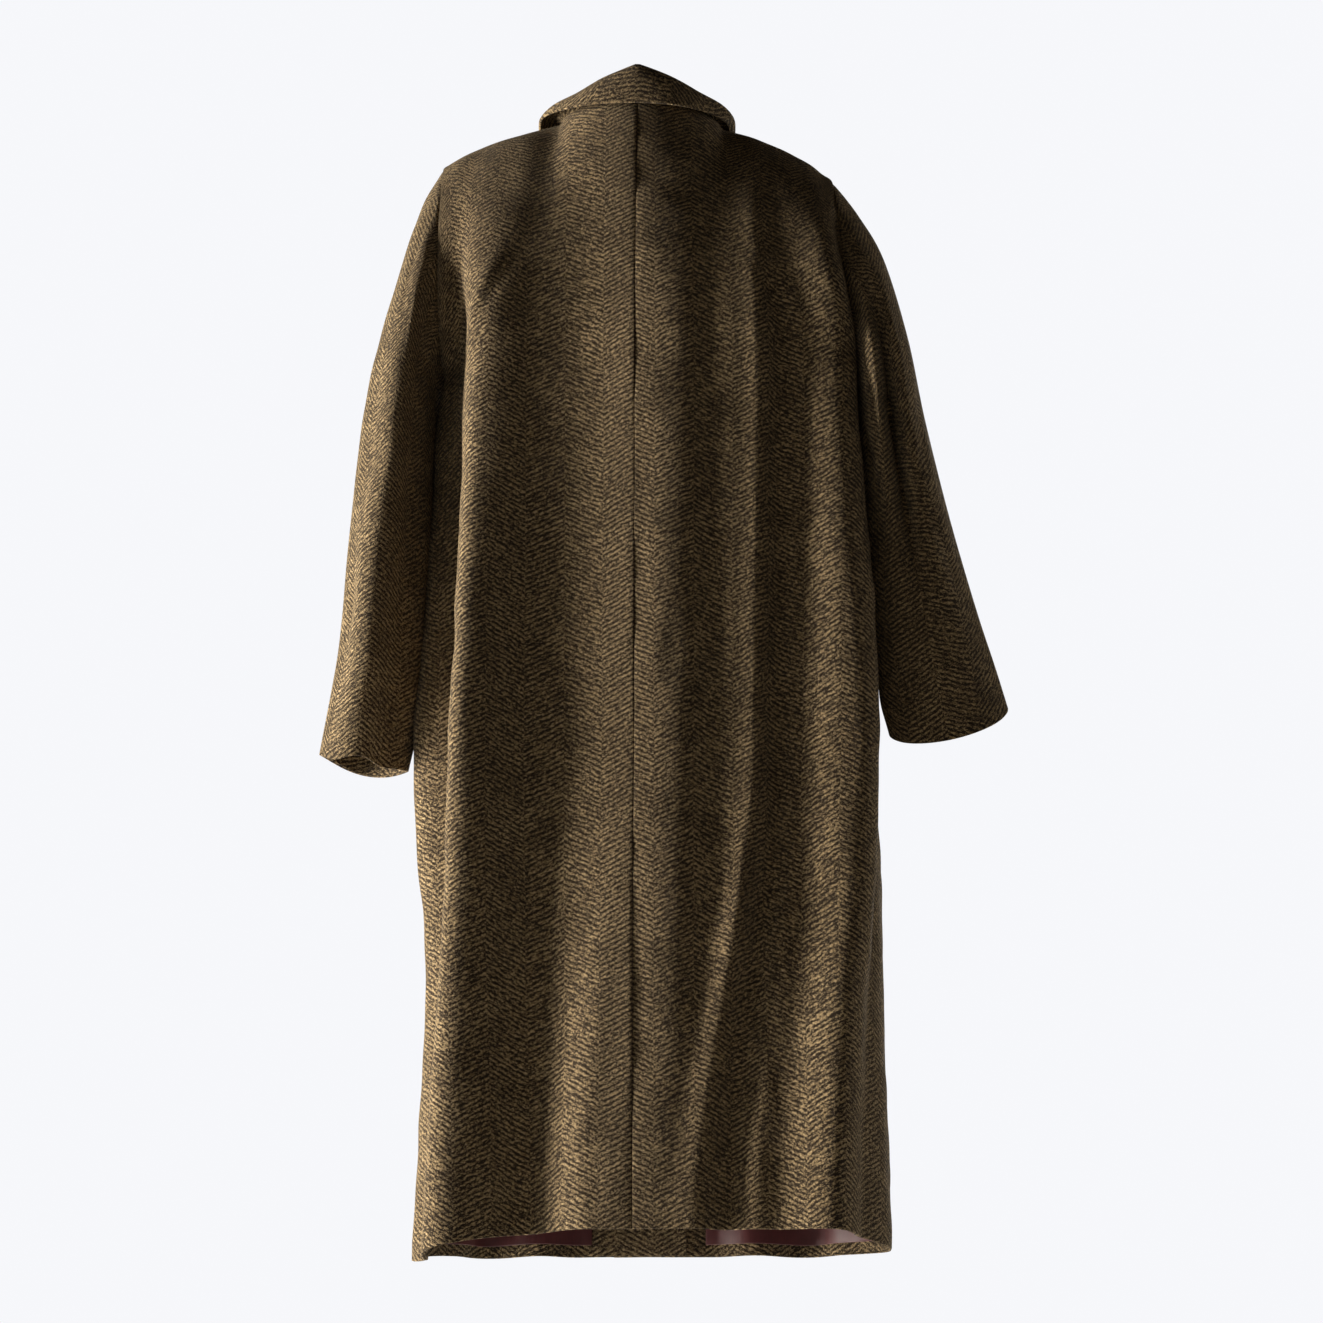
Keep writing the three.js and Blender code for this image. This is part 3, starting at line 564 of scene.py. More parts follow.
@dataclass(frozen=True)
class Panel:
    """One body panel's part of the form: its angles, and its seamed and free edges."""

    form: BodyForm
    side: Side
    face: Face
    overlap: float = 9
    pitch: float = 5.0
    samples: int = 1500
    edge_fine: tuple[float, float, float] = (0.9, 2.2, 4.2)
    least_pitch: float = 0.3
    least_gap: float = 0.12
    upper_rows: int = 62
    upper_crowd: float = 1.5
    lower_rows: int = 176
    chest_fine: tuple[float, float] = (0.001, 0.0025)
    calm_top: float = 30
    relief: Relief = Relief(46, 0.5, 120, 0.9)
    seed_step: int = 11
    front_seed: int = 100

    @property
    def under(self) -> bool:
        """Whether the panel lies under the other front."""
        return self.face is Face.FRONT and self.side is Side.LEFT

    @property
    def seed(self) -> int:
        """The seed of the panel's unevenness."""
        first = self.front_seed if self.face is Face.FRONT else 0
        return first + self.seed_step * (2 + self.side.value)

    def angles(self, pitch: float) -> Array:
        """Angles a pitch apart along the chest, closer by the edges.

        One of them is at the neck point, where the neck seam meets the shoulder seam.

        Args:
            pitch: The usual distance between columns.

        Returns:
            The angles, rising.
        """
        if self.face is Face.FRONT:
            own = np.linspace(SIDE_SEAM, CENTRE_FRONT + self.overlap, self.samples)
        else:
            own = np.linspace(0, SIDE_SEAM, self.samples)
        form = self.form
        line = form.points(self.face, own * self.side.value, np.array([1.0]))
        walked = run_lengths(line, 1)[0]
        tip = form.tip_right[0] if self.side is Side.RIGHT else -form.tip_left[0]
        at_chest = np.full(own.shape, float(form.chest_z))
        chest = form.ring(self.face, own * self.side.value, at_chest)
        reach = np.abs(chest["share"]) * tip
        neck = walked[int(np.argmin(np.abs(reach - form.neck_half)))]
        first = spread(neck, pitch, self.edge_fine)
        second = neck + spread(walked[-1] - neck, pitch, self.edge_fine)
        places = np.unique(np.round(np.concatenate([first, second]), 3))
        places = places[np.concatenate([[True], np.diff(places) > self.least_pitch])]
        found = np.interp(places, walked, own)
        found[0], found[-1] = own[0], own[-1]
        return found if self.side is Side.RIGHT else -found[::-1]

    def levels(self, above_hem: float, coarse: float) -> Array:
        """Levels down the panel, closer by the shoulder seam, ending above the hem.

        Args:
            above_hem: How far above the hem the last row lies.
            coarse: How many times fewer rows than usual.

        Returns:
            The levels, rising.
        """
        upper = np.linspace(0, 1, round(self.upper_rows / coarse) + 1) ** self.upper_crowd
        end = 2 - above_hem / (self.form.chest_z - self.form.hem_z)
        lower = 1 + (end - 1) * spread(1, coarse / self.lower_rows, self.chest_fine)
        return np.concatenate([upper, lower[lower > 1]])

    def grid(self, above_hem: float = 0, coarse: float = 1, seed: int = 0) -> Grid:
        """The panel's outer surface.

        u is the distance across the cloth from the centre line, and v the distance down
        it from the chest, so that the cloth's grain stays upright.

        Args:
            above_hem: How far above the hem the last row lies.
            coarse: How many times fewer rows and columns than usual.
            seed: The seed of the unevenness, or 0 for none.

        Returns:
            The surface.
        """
        angle = self.angles(self.pitch * coarse)
        level = self.levels(above_hem, coarse)
        points = self.form.points(self.face, angle, level, self.under)
        for _ in range(2):
            points = set_apart(points, 0, self.least_gap)[:, ::-1]
        normals = grid_normals(points, False)
        on_seam = np.abs(points[0, :, 0]) > self.form.neck_half - 0.5
        way = np.gradient(points[0], axis=0)
        way = way * np.sign(way[:, :1])
        upright = np.stack([-way[:, 2], 0 * way[:, 0], way[:, 0]], -1)
        normals[0, on_seam] = unit(upright[on_seam])
        chest = int(np.searchsorted(level, 1.0))
        across = run_lengths(points, 1)
        across[:chest] = across[chest]
        first_is_centre = (self.face is Face.BACK) == (self.side is Side.RIGHT)
        u = across if first_is_centre else across[:, -1:] - across
        down = run_lengths(points, 0)
        v = down - down[chest]
        grid = Grid(points, normals, u, v)
        if seed:
            grid = grid.moved(self.relief.at(u, v, seed) * ease(0, self.calm_top, down))
            grid.normals[1:] = grid.resettled().normals[1:]
        return grid


# The sleeves


@dataclass(frozen=True)
class Ring:
    """One ring of a sleeve, between a point of its outer and of its inner line."""

    at: float
    out_x: float
    out_z: float
    in_x: float
    in_z: float
    y: float
    half: float
    droop: float


@dataclass(frozen=True)
class SleeveFold:
    """A soft fold on a sleeve, from one place along it to another, round one angle."""

    name: str
    start: float
    end: float
    angle: float
    wide: float
    high: float
    lean: float = 0.0


@dataclass(frozen=True)
class SleeveForm:
    """A sleeve: a tube of rings, with its folds laid on.

    edge has a row of angle, half width and drop for each wave of the cuff's edge, which
    starts at edge_from along the sleeve.
    """

    side: Side
    rings: tuple[Ring, ...]
    folds: tuple[SleeveFold, ...]
    edge: tuple[tuple[float, float, float], ...] = ()
    edge_from: float = 0.82
    seam: float = -0.6
    columns: int = 112
    rows: int = 128
    end_fine: tuple[float, float, float] = (0.0015, 0.0035, 0.0065)
    calm_top: float = 30
    calm_seam: float = 60
    relief: Relief = Relief(42, 0.5, 110, 1.0)

    def points(self, angle: Array, at: Array) -> Array:
        """Points of the sleeve's outer surface.

        Angle 0 is the outer line, 90 the back, 180 the inner line and 270 the front.
        Each ring is an ellipse between its two lines, moved out by the folds.
        """
        angle, at = np.broadcast_arrays(angle[None, :], at[:, None])
        keys = [r.at for r in self.rings]

        def read(name: str) -> Array:
            """One column of the rings' table at each place."""
            return hermite(keys, [getattr(r, name) for r in self.rings], at)

        shift = self.side.value * self.seam
        y = read("y")
        outer = np.stack([read("out_x") + shift, y, read("out_z")], -1)
        inner = np.stack([read("in_x") + shift, y, read("in_z")], -1)
        c, s = np.cos(np.radians(angle)), np.sin(np.radians(angle))
        half = (outer - inner) / 2
        deep = np.stack([np.zeros_like(y), -read("half"), -read("droop")], -1)
        out = half * (c / (half**2).sum(-1))[..., None]
        out = unit(out + deep * (s / (deep**2).sum(-1))[..., None])
        high = np.zeros_like(y)
        for fold in self.folds:
            middle = (fold.start + fold.end) / 2
            along = (at - middle) / (fold.end - middle)
            turn = turn_from(fold.angle + fold.lean * along, angle)
            high += fold.high * bump(turn / fold.wide) * bump(along)
        centre = (outer + inner) / 2
        points = centre + half * c[..., None] + deep * s[..., None] + out * high[..., None]
        for middle, wide, drop in self.edge:
            turn = turn_from(middle, angle)
            points[..., 2] -= drop * bump(turn / wide) * ease(self.edge_from, 1, at)
        return points

    def grid(self, seed: int) -> Grid:
        """The sleeve's outer surface.

        u is the distance round the sleeve from the middle of its back, and v the
        distance down it to the cuff, so that the grain follows the sleeve.

        Args:
            seed: The seed of the unevenness.

        Returns:
            The surface, which closes on itself.
        """
        angle = np.linspace(0, 360, self.columns + 1)[:-1]
        at = spread(1, 1 / self.rows, self.end_fine)
        points = self.points(angle, at)
        normals = grid_normals(points, True) * -self.side.value
        normals[0, :, 0] = 0
        normals[0] = unit(normals[0])
        closed = np.concatenate([points, points[:, :1]], 1)
        across = run_lengths(closed, 1)
        back = self.columns // 4
        u = across - across[:, back : back + 1]
        down = run_lengths(closed, 0)
        v = down - down[-1:]
        relief = self.relief.at(u, v, seed)[:, :-1]
        from_seam = np.minimum(u[:, :-1] - u[:, :1], u[:, -1:] - u[:, :-1])
        seam = bump(from_seam / self.calm_seam)
        calm = ease(0, self.calm_top, down[:, :-1])
        grid = Grid(points, normals, u, v, True).moved(relief * (1 - seam) * calm)
        grid.normals[1:] = grid.resettled().normals[1:]
        return grid


LEFT_SLEEVE = SleeveForm(
    Side.LEFT,
    (
        Ring(0, -209, -56, -208, -295, -5, 76, 0),
        Ring(0.1, -231, -102, -213, -310, -10, 80, 0),
        Ring(0.22, -253, -174, -216, -336, -16, 80, 0),
        Ring(0.36, -274, -260, -217.6, -382, -20, 78, 0),
        Ring(0.52, -291, -364, -219, -446, -22, 73, 0),
        Ring(0.68, -303, -474, -224, -528, -23, 67, 0),
        Ring(0.84, -312, -588, -232, -622, -22, 59, 4),
        Ring(1, -330, -697, -243, -714, -20, 48, 9),
    ),
    (
        SleeveFold("elbow crest", 0.45, 1.1, 78, 34, 8),
        SleeveFold("back swell", 0.12, 0.98, 96, 40, 7),
        SleeveFold("inner hollow", 0.1, 0.9, 138, 34, -7),
        SleeveFold("front hollow", 0.3, 0.85, 262, 40, -8),
        SleeveFold("outer swell", 0.2, 0.7, 20, 40, 3),
        SleeveFold("against the body", 0.1, 1.22, 180, 60, 4.6),
        SleeveFold("low against the body", 0.62, 1.14, 172, 56, 7),
        SleeveFold("cap drag", 0.0, 0.34, 66, 12, -2.2, 14),
        SleeveFold("cap fold", 0.02, 0.36, 92, 12, 2.4, 12),
        SleeveFold("elbow drag", 0.48, 0.66, 60, 26, -2.4, -30),
        SleeveFold("low drag", 0.66, 0.9, 50, 18, -2.2, -20),
        SleeveFold("front elbow fold", 0.42, 0.62, 240, 26, -3.4, 24),
        SleeveFold("front low fold", 0.58, 0.76, 250, 24, -2.8, -24),
    ),
    edge=((270, 95, 13.0), (96, 34, -6.5), (52, 30, 2.0), (128, 26, 1.0)),
)

RIGHT_SLEEVE = SleeveForm(
    Side.RIGHT,
    (
        Ring(0, 203, -81, 221, -295, -5, 76, 0),
        Ring(0.1, 231, -122, 225, -310, -12, 80, 0),
        Ring(0.22, 257, -176, 226.5, -334, -20, 80, 0),
        Ring(0.36, 280, -260, 228.5, -376, -26, 76, 0),
        Ring(0.52, 297, -352, 231.5, -434, -28, 70, 0),
        Ring(0.68, 320, -456, 237, -508, -30, 60, 4),
        Ring(0.84, 347, -560, 244, -596, -34, 46, 14),
        Ring(0.93, 364, -618, 247, -650, -36, 38, 21),
        Ring(1, 376, -662, 255, -686, -38, 31, 26),
    ),
    (
        SleeveFold("deep crease", 0.1, 0.86, 84, 26, -29, 9),
        SleeveFold("inner roll", 0.05, 0.7, 122, 30, 7),
        SleeveFold("roll lip", 0.14, 0.72, 104, 12, 5, 8),
        SleeveFold("outer swell", 0.3, 0.9, 50, 32, 5),
        SleeveFold("front hollow", 0.25, 0.9, 265, 40, -9),
        SleeveFold("against the body", 0.12, 1.14, 180, 60, 5.0),
        SleeveFold("crease floor", 0.14, 0.84, 84, 13, -12, 9),
        SleeveFold("outer brink", 0.2, 0.6, 60, 12, 3, 6),
        SleeveFold("seam slot", 0.3, 0.62, 134, 9, -6, -14),
        SleeveFold("outer drag", 0.42, 0.66, 44, 14, -2.4, 26),
        SleeveFold("outer low drag", 0.6, 0.86, 52, 12, -2.2, -18),
        SleeveFold("front elbow fold", 0.42, 0.62, 236, 26, -3.2, 24),
    ),
)


# The collar


@dataclass(frozen=True)
class CollarPoint:
    """A point of the collar's section, a share of the way between two named points.

    out and up are how far it is then moved, away from the neck and upwards.
    """

    start: str
    end: str
    share: float
    out: float
    up: float


COLLAR_SECTION = (
    CollarPoint("seam", "roll", 0, 0, 0),
    CollarPoint("seam", "roll", 0.55, -1.5, 0),
    CollarPoint("roll", "edge", 0, -1, -2),
    CollarPoint("roll", "edge", 0, 3.5, 0),
    CollarPoint("roll", "edge", 0.16, 6, 0),
    CollarPoint("roll", "edge", 0.55, 4.5, 0),
    CollarPoint("roll", "edge", 1, 0, 0),
)


@dataclass(frozen=True)
class CollarForm:
    """The collar: a stand up from the neck seam, a roll, and a fall down outside it.

    turns are places round the neck, 0 at the back. At each, roll_out and roll_up give
    the roll's top from the seam, and edge_x, edge_y and edge_z the fall's edge.
    """

    form: BodyForm
    turns: tuple[float, ...] = (0, 20, 42, 66, 90, 115, 135, 155, 168, 176)
    roll_out: tuple[float, ...] = (9, 9, 8, 7, 7, 8, 8, 8, 7, 6)
    roll_up: tuple[float, ...] = (34, 22, 10.5, 9, 9.5, 11, 11, 10, 9, 8)
    edge_x: tuple[float, ...] = (0, 37, 73, 97, 106, 106, 94, 76, 56, 42)
    edge_y: tuple[float, ...] = (-92, -88, -70, -40, -4, 44, 76, 99, 110, 113)
    edge_z: tuple[float, ...] = (-17, -16, -14, -10, -8, -32, -70, -122, -156, -166)
    side_share: tuple[float, float] = (1.03, 0.87)
    edge_drop: float = 7
    seam_gap: float = -4
    seam_in: float = 4.4
    thick: float = 3
    rows: int = 30
    step: float = 2.5
    samples: int = 160
    calm_top: float = 25
    seed: int = 71
    column_offset: float = 1000
    relief: Relief = Relief(40, 0.35, 110, 0.7)

    def section(self, turn: float) -> Array:
        """The middle line of the collar's wall at one turn round the neck.

        It runs from the seam up the stand, over the roll and down the fall, along a
        smooth curve through the points of the collar's section.

        Args:
            turn: The place round the neck, 0 at the back and plus to the right.

        Returns:
            Points from the seam to the edge.
        """
        face = Face.BACK if abs(turn) < SIDE_SEAM else Face.FRONT
        s, c = math.sin(math.radians(turn)), math.cos(math.radians(turn))
        seam = self.form.top_edge(face, np.array([self.form.neck_half * s]))[0]
        out = np.array([s, -c, 0.0])
        at = np.array([abs(turn)])

        def read(column: tuple[float, ...]) -> float:
            """One column of the collar's table at this turn."""
            return float(hermite(self.turns, column, at)[0])

        share = self.side_share[0] if turn < 0 else self.side_share[1]
        drop = self.edge_drop * abs(s) if turn > 0 else 0.0
        ends = {
            "seam": seam - out * self.seam_in + [0, 0, self.seam_gap],
            "roll": seam + out * read(self.roll_out) + [0, 0, read(self.roll_up)],
            "edge": np.array(
                [
                    math.copysign(1, turn) * read(self.edge_x) * share,
                    read(self.edge_y),
                    read(self.edge_z) - drop,
                ]
            ),
        }
        path = np.array(
            [
                mix(ends[p.start], ends[p.end], p.share) + out * p.out + [0, 0, p.up]
                for p in COLLAR_SECTION
            ]
        )
        keys = np.concatenate(
            [[0], np.cumsum(np.sqrt(np.linalg.norm(np.diff(path, axis=0), axis=1)))]
        )
        fine = np.linspace(0, keys[-1], self.samples)
        line = np.stack([hermite(keys, path[:, k], fine) for k in range(3)], -1)
        walked = run_lengths(line, 0)
        places = spread(walked[-1], walked[-1] / self.rows, ())
        return np.stack([np.interp(places, walked, line[:, k]) for k in range(3)], -1)

    def grid(self) -> Grid:
        """The collar's outer face. u runs round the neck and v from the seam to the edge."""
        last = self.turns[-1]
        turns = np.arange(-last, last, self.step)
        points = np.stack([self.section(float(t)) for t in turns], 1)
        normals = grid_normals(points, False)
        u = run_lengths(points, 1)
        u = np.broadcast_to(u[self.rows // 2], u.shape)
        v = run_lengths(points, 0)
        u = u - u[:, u.shape[1] // 2][:, None]
        relief = self.relief.at(u, v, self.seed) * ease(0, self.calm_top, v)
        grid = Grid(points, normals, u, v).moved(self.thick / 2)
        return grid.moved(relief).resettled()


# Meshes and walls


def add_object(
    name: str, points: Array, faces: Array, uv: Array | None = None
) -> bpy.types.Object:
    """Makes a smooth mesh object from points in millimetres.

    Args:
        name: The object's name.
        points: Vertices, of the shape (n, 3).
        faces: Vertex numbers, of the shape (m, 4).
        uv: Places along the cloth for each face corner, (4 m, 2), in metres.

    Returns:
        The object, linked to the scene.
    """
    mesh = bpy.data.meshes.new(name)
    mesh.from_pydata(points * MM, [], faces)
    if uv is not None:
        mesh.uv_layers.new(name="cloth").data.foreach_set("uv", uv.astype(np.float32).ravel())
    mesh.polygons.foreach_set("use_smooth", np.ones(len(faces), bool))
    mesh.update()
    obj = bpy.data.objects.new(name, mesh)
    bpy.context.scene.collection.objects.link(obj)
    return obj


def rim_loops(rows: int, columns: int, wrap: bool) -> list[tuple[Array, Array]]:
    """The rims of a grid as closed runs of row and column numbers.

    Args:
        rows, columns: The grid's size.
        wrap: Whether the last column meets the first, so that there are two rims.

    Returns:
        For each rim its row numbers and its column numbers.
    """
    across, down = np.arange(columns), np.arange(rows)
    if wrap:
        round_ = np.arange(columns + 1)
        return [
            (np.zeros_like(round_), round_),
            (np.full_like(round_, rows - 1), round_[::-1]),
        ]
    r = np.concatenate([0 * across, down[1:], 0 * across[1:] + rows - 1, down[-2::-1]])
    c = np.concatenate([across, 0 * down[1:] + columns - 1, across[-2::-1], 0 * down[1:]])
    return [(r, c)]


def shortened(way: Array, length: float) -> Array:
    """Vectors cut to a length, and never past half of their own."""
    size = np.linalg.norm(way, axis=-1, keepdims=True)
    return way * np.minimum(length / np.maximum(size, 1e-9), 0.5)


def cloth_wall(name: str, grid: Grid, thickness: float, lip: float = 0.5) -> bpy.types.Object:
    """A closed cloth wall with rounded rims, between a grid and the same grid moved in.

    Args:
        name: The object's name.
        grid: The outer surface.
        thickness: How far the inner surface lies below it.
        lip: How far the two faces stop short of the rim.

    Returns:
        The new object, whose UV map "cloth" holds u and v in metres.
    """
    rows, columns = grid.points.shape[:2]
    wrap = grid.wrap
    face = grid.points.copy()
    if not wrap:
        face[:, 0] += shortened(grid.points[:, 1] - grid.points[:, 0], lip)
        face[:, -1] += shortened(grid.points[:, -2] - grid.points[:, -1], lip)
    face[0] += shortened(grid.points[1] - grid.points[0], lip)
    face[-1] += shortened(grid.points[-2] - grid.points[-1], lip)
    inner = face - grid.normals * thickness
    middle = grid.points - grid.normals * thickness / 2
    spans = columns if wrap else columns - 1
    r, c = (a.ravel() for a in np.meshgrid(np.arange(rows - 1), np.arange(spans), indexing="ij"))
    rr = np.stack([r, r + 1, r + 1, r], 1)
    cc = np.stack([c, c, c + 1, c + 1], 1)
    wide = grid.u.shape[1]
    vertex = rr * columns + cc % columns
    place = rr * wide + cc
    half = rows * columns
    faces, places = [vertex, vertex[:, ::-1] + half], [place, place[:, ::-1]]
    extra, base = [], 2 * half
    for loop_r, loop_c in rim_loops(rows, columns, wrap):
        count = len(loop_r) - 1
        v0 = loop_r * columns + loop_c % columns
        p0 = loop_r * wide + loop_c
        m0 = base + np.arange(count + 1) % count
        a, b, m, n = v0[:-1], v0[1:], m0[:-1], m0[1:]
        faces += [np.stack([a, b, n, m], 1), np.stack([m, n, b + half, a + half], 1)]
        places += [np.stack([p0[:-1], p0[1:], p0[1:], p0[:-1]], 1)] * 2
        extra.append(middle[loop_r[:-1], loop_c[:-1] % columns])
        base += count
    points = np.concatenate([face.reshape(-1, 3), inner.reshape(-1, 3), *extra])
    faces, places = np.concatenate(faces), np.concatenate(places)
    a, b, c, d = np.moveaxis(points[faces], 1, 0)
    volume = (a * np.cross(b, c)).sum() + (a * np.cross(c, d)).sum()
    if volume < 0:
        faces, places = faces[:, ::-1], places[:, ::-1]
    uv = np.stack([grid.u.ravel(), grid.v.ravel()], 1)[places.ravel()] * MM
    return add_object(name, points, faces, uv)


def roll_seams(grid: Grid, edges: tuple[str, ...], depth: float, reach: float) -> Grid:
    """Sinks a grid along its seamed edges, as cloth does where it is sewn.

    The depth falls off with the square of the distance from the edge, as a bell curve.

    Args:
        grid: The surface.
        edges: Names out of first, last, top and bottom.
        depth: How deep the edge itself sinks.
        reach: The distance at which the depth is down to about a third.

    Returns:
        The sunk surface.
    """
    fall = np.zeros(grid.points.shape[:2])
    across, down = run_lengths(grid.points, 1), run_lengths(grid.points, 0)
    distance = {
        "first": across,
        "last": across[:, -1:] - across,
        "top": down,
        "bottom": down[-1:] - down,
    }
    for edge in edges:
        fall = np.maximum(fall, np.exp(-((distance[edge] / reach) ** 2)))
    return grid.moved(-depth * fall)


def pull_edges(grid: Grid, edges: tuple[str, ...], distance: float) -> Grid:
    """Draws the named edges of a grid back along the cloth."""
    points = grid.points.copy()
    if "first" in edges:
        points = set_apart(points, distance, distance / 2)
    if "last" in edges:
        points = set_apart(points[:, ::-1], distance, distance / 2)[:, ::-1]
    if "top" in edges:
        points[0] += unit(points[1] - points[0]) * distance
    return Grid(points, grid.normals, grid.u, grid.v, grid.wrap)


# Materials


class Nodes:
    """A short way to write a node tree."""

    def __init__(self, tree: bpy.types.NodeTree) -> None:
        """Writes nodes into a tree."""
        self.tree = tree

    def add(self, kind: str, **settings: object) -> bpy.types.Node:
        """Adds a node and sets its properties."""
        node = self.tree.nodes.new(kind)
        for key, value in settings.items():
            setattr(node, key, value)
        return node

    def put(self, target: bpy.types.NodeSocket, source: object) -> None:
        """Links a socket to a target, or sets the target's own value."""
        if isinstance(source, bpy.types.NodeSocket):
            self.tree.links.new(source, target)
        else:
            target.default_value = source

    def math(self, operation: str, *values: object) -> bpy.types.NodeSocket:
        """A Math node over sockets or numbers."""
        node = self.add("ShaderNodeMath", operation=operation)
        for socket, value in zip(node.inputs, values):
            self.put(socket, value)
        return node.outputs[0]

    def noise(self, vector: object, scale: float, detail: float = 2.0) -> bpy.types.NodeSocket:
        """A Noise texture's value over a vector."""
        node = self.add("ShaderNodeTexNoise")
        self.put(node.inputs["Vector"], vector)
        node.inputs["Scale"].default_value = scale
        node.inputs["Detail"].default_value = detail
        return node.outputs["Fac"]

    def spread(
        self,
        value: object,
        low: float,
        high: float,
        to_low: float = 0,
        to_high: float = 1,
    ) -> bpy.types.NodeSocket:
        """A Map Range node, which holds its ends and eases between them."""
        node = self.add("ShaderNodeMapRange", interpolation_type="SMOOTHSTEP")
        names = ("Value", "From Min", "From Max", "To Min", "To Max")
        for name, part in zip(names, (value, low, high, to_low, to_high)):
            self.put(node.inputs[name], part)
        return node.outputs[0]

    def blend(self, factor: object, a: Colour, b: object) -> bpy.types.NodeSocket:
        """A colour Mix node between a colour and another one or a socket."""
        node = self.add("ShaderNodeMix", data_type="RGBA")
        self.put(node.inputs[0], factor)
        self.put(node.inputs[MIX_FIRST], (*a, 1))
        self.put(node.inputs[MIX_SECOND], (*b, 1) if isinstance(b, tuple) else b)
        return node.outputs[2]

    def raised(
        self, shader: bpy.types.Node, height: object, distance: float, strength: float = 1
    ) -> None:
        """Gives a shader a Bump node over a height."""
        node = self.add("ShaderNodeBump")
        node.inputs["Strength"].default_value = strength
        node.inputs["Distance"].default_value = distance
        self.put(node.inputs["Height"], height)
        self.put(shader.inputs["Normal"], node.outputs[0])

    def stretched(
        self, place: object, scale: Colour, turn: Colour = (0, 0, 0)
    ) -> bpy.types.NodeSocket:
        """A Mapping node that stretches and turns a place."""
        node = self.add("ShaderNodeMapping")
        self.put(node.inputs["Vector"], place)
        node.inputs["Scale"].default_value = scale
        node.inputs["Rotation"].default_value = turn
        return node.outputs[0]

    def vector(self, x: object, y: object, z: object = 0.0) -> bpy.types.NodeSocket:
        """A Combine XYZ node."""
        node = self.add("ShaderNodeCombineXYZ")
        for socket, value in zip(node.inputs, (x, y, z)):
            self.put(socket, value)
        return node.outputs[0]


def new_group(
    name: str, inputs: dict[str, tuple[str, object]], outputs: dict[str, str]
) -> tuple[Nodes, bpy.types.Node, bpy.types.Node]:
    """Starts a shader node group.

    Args:
        name: The group's name.
        inputs: Socket type and value of each input by name.
        outputs: Socket type of each output by name.

    Returns:
        The group's nodes, its input node and its output node.
    """
    tree = bpy.data.node_groups.new(name, "ShaderNodeTree")
    for label, (kind, value) in inputs.items():
        socket = tree.interface.new_socket(label, in_out="INPUT", socket_type=kind)
        if value is not None:
            socket.default_value = value
    for label, kind in outputs.items():
        tree.interface.new_socket(label, in_out="OUTPUT", socket_type=kind)
    nodes = Nodes(tree)
    return nodes, nodes.add("NodeGroupInput"), nodes.add("NodeGroupOutput")


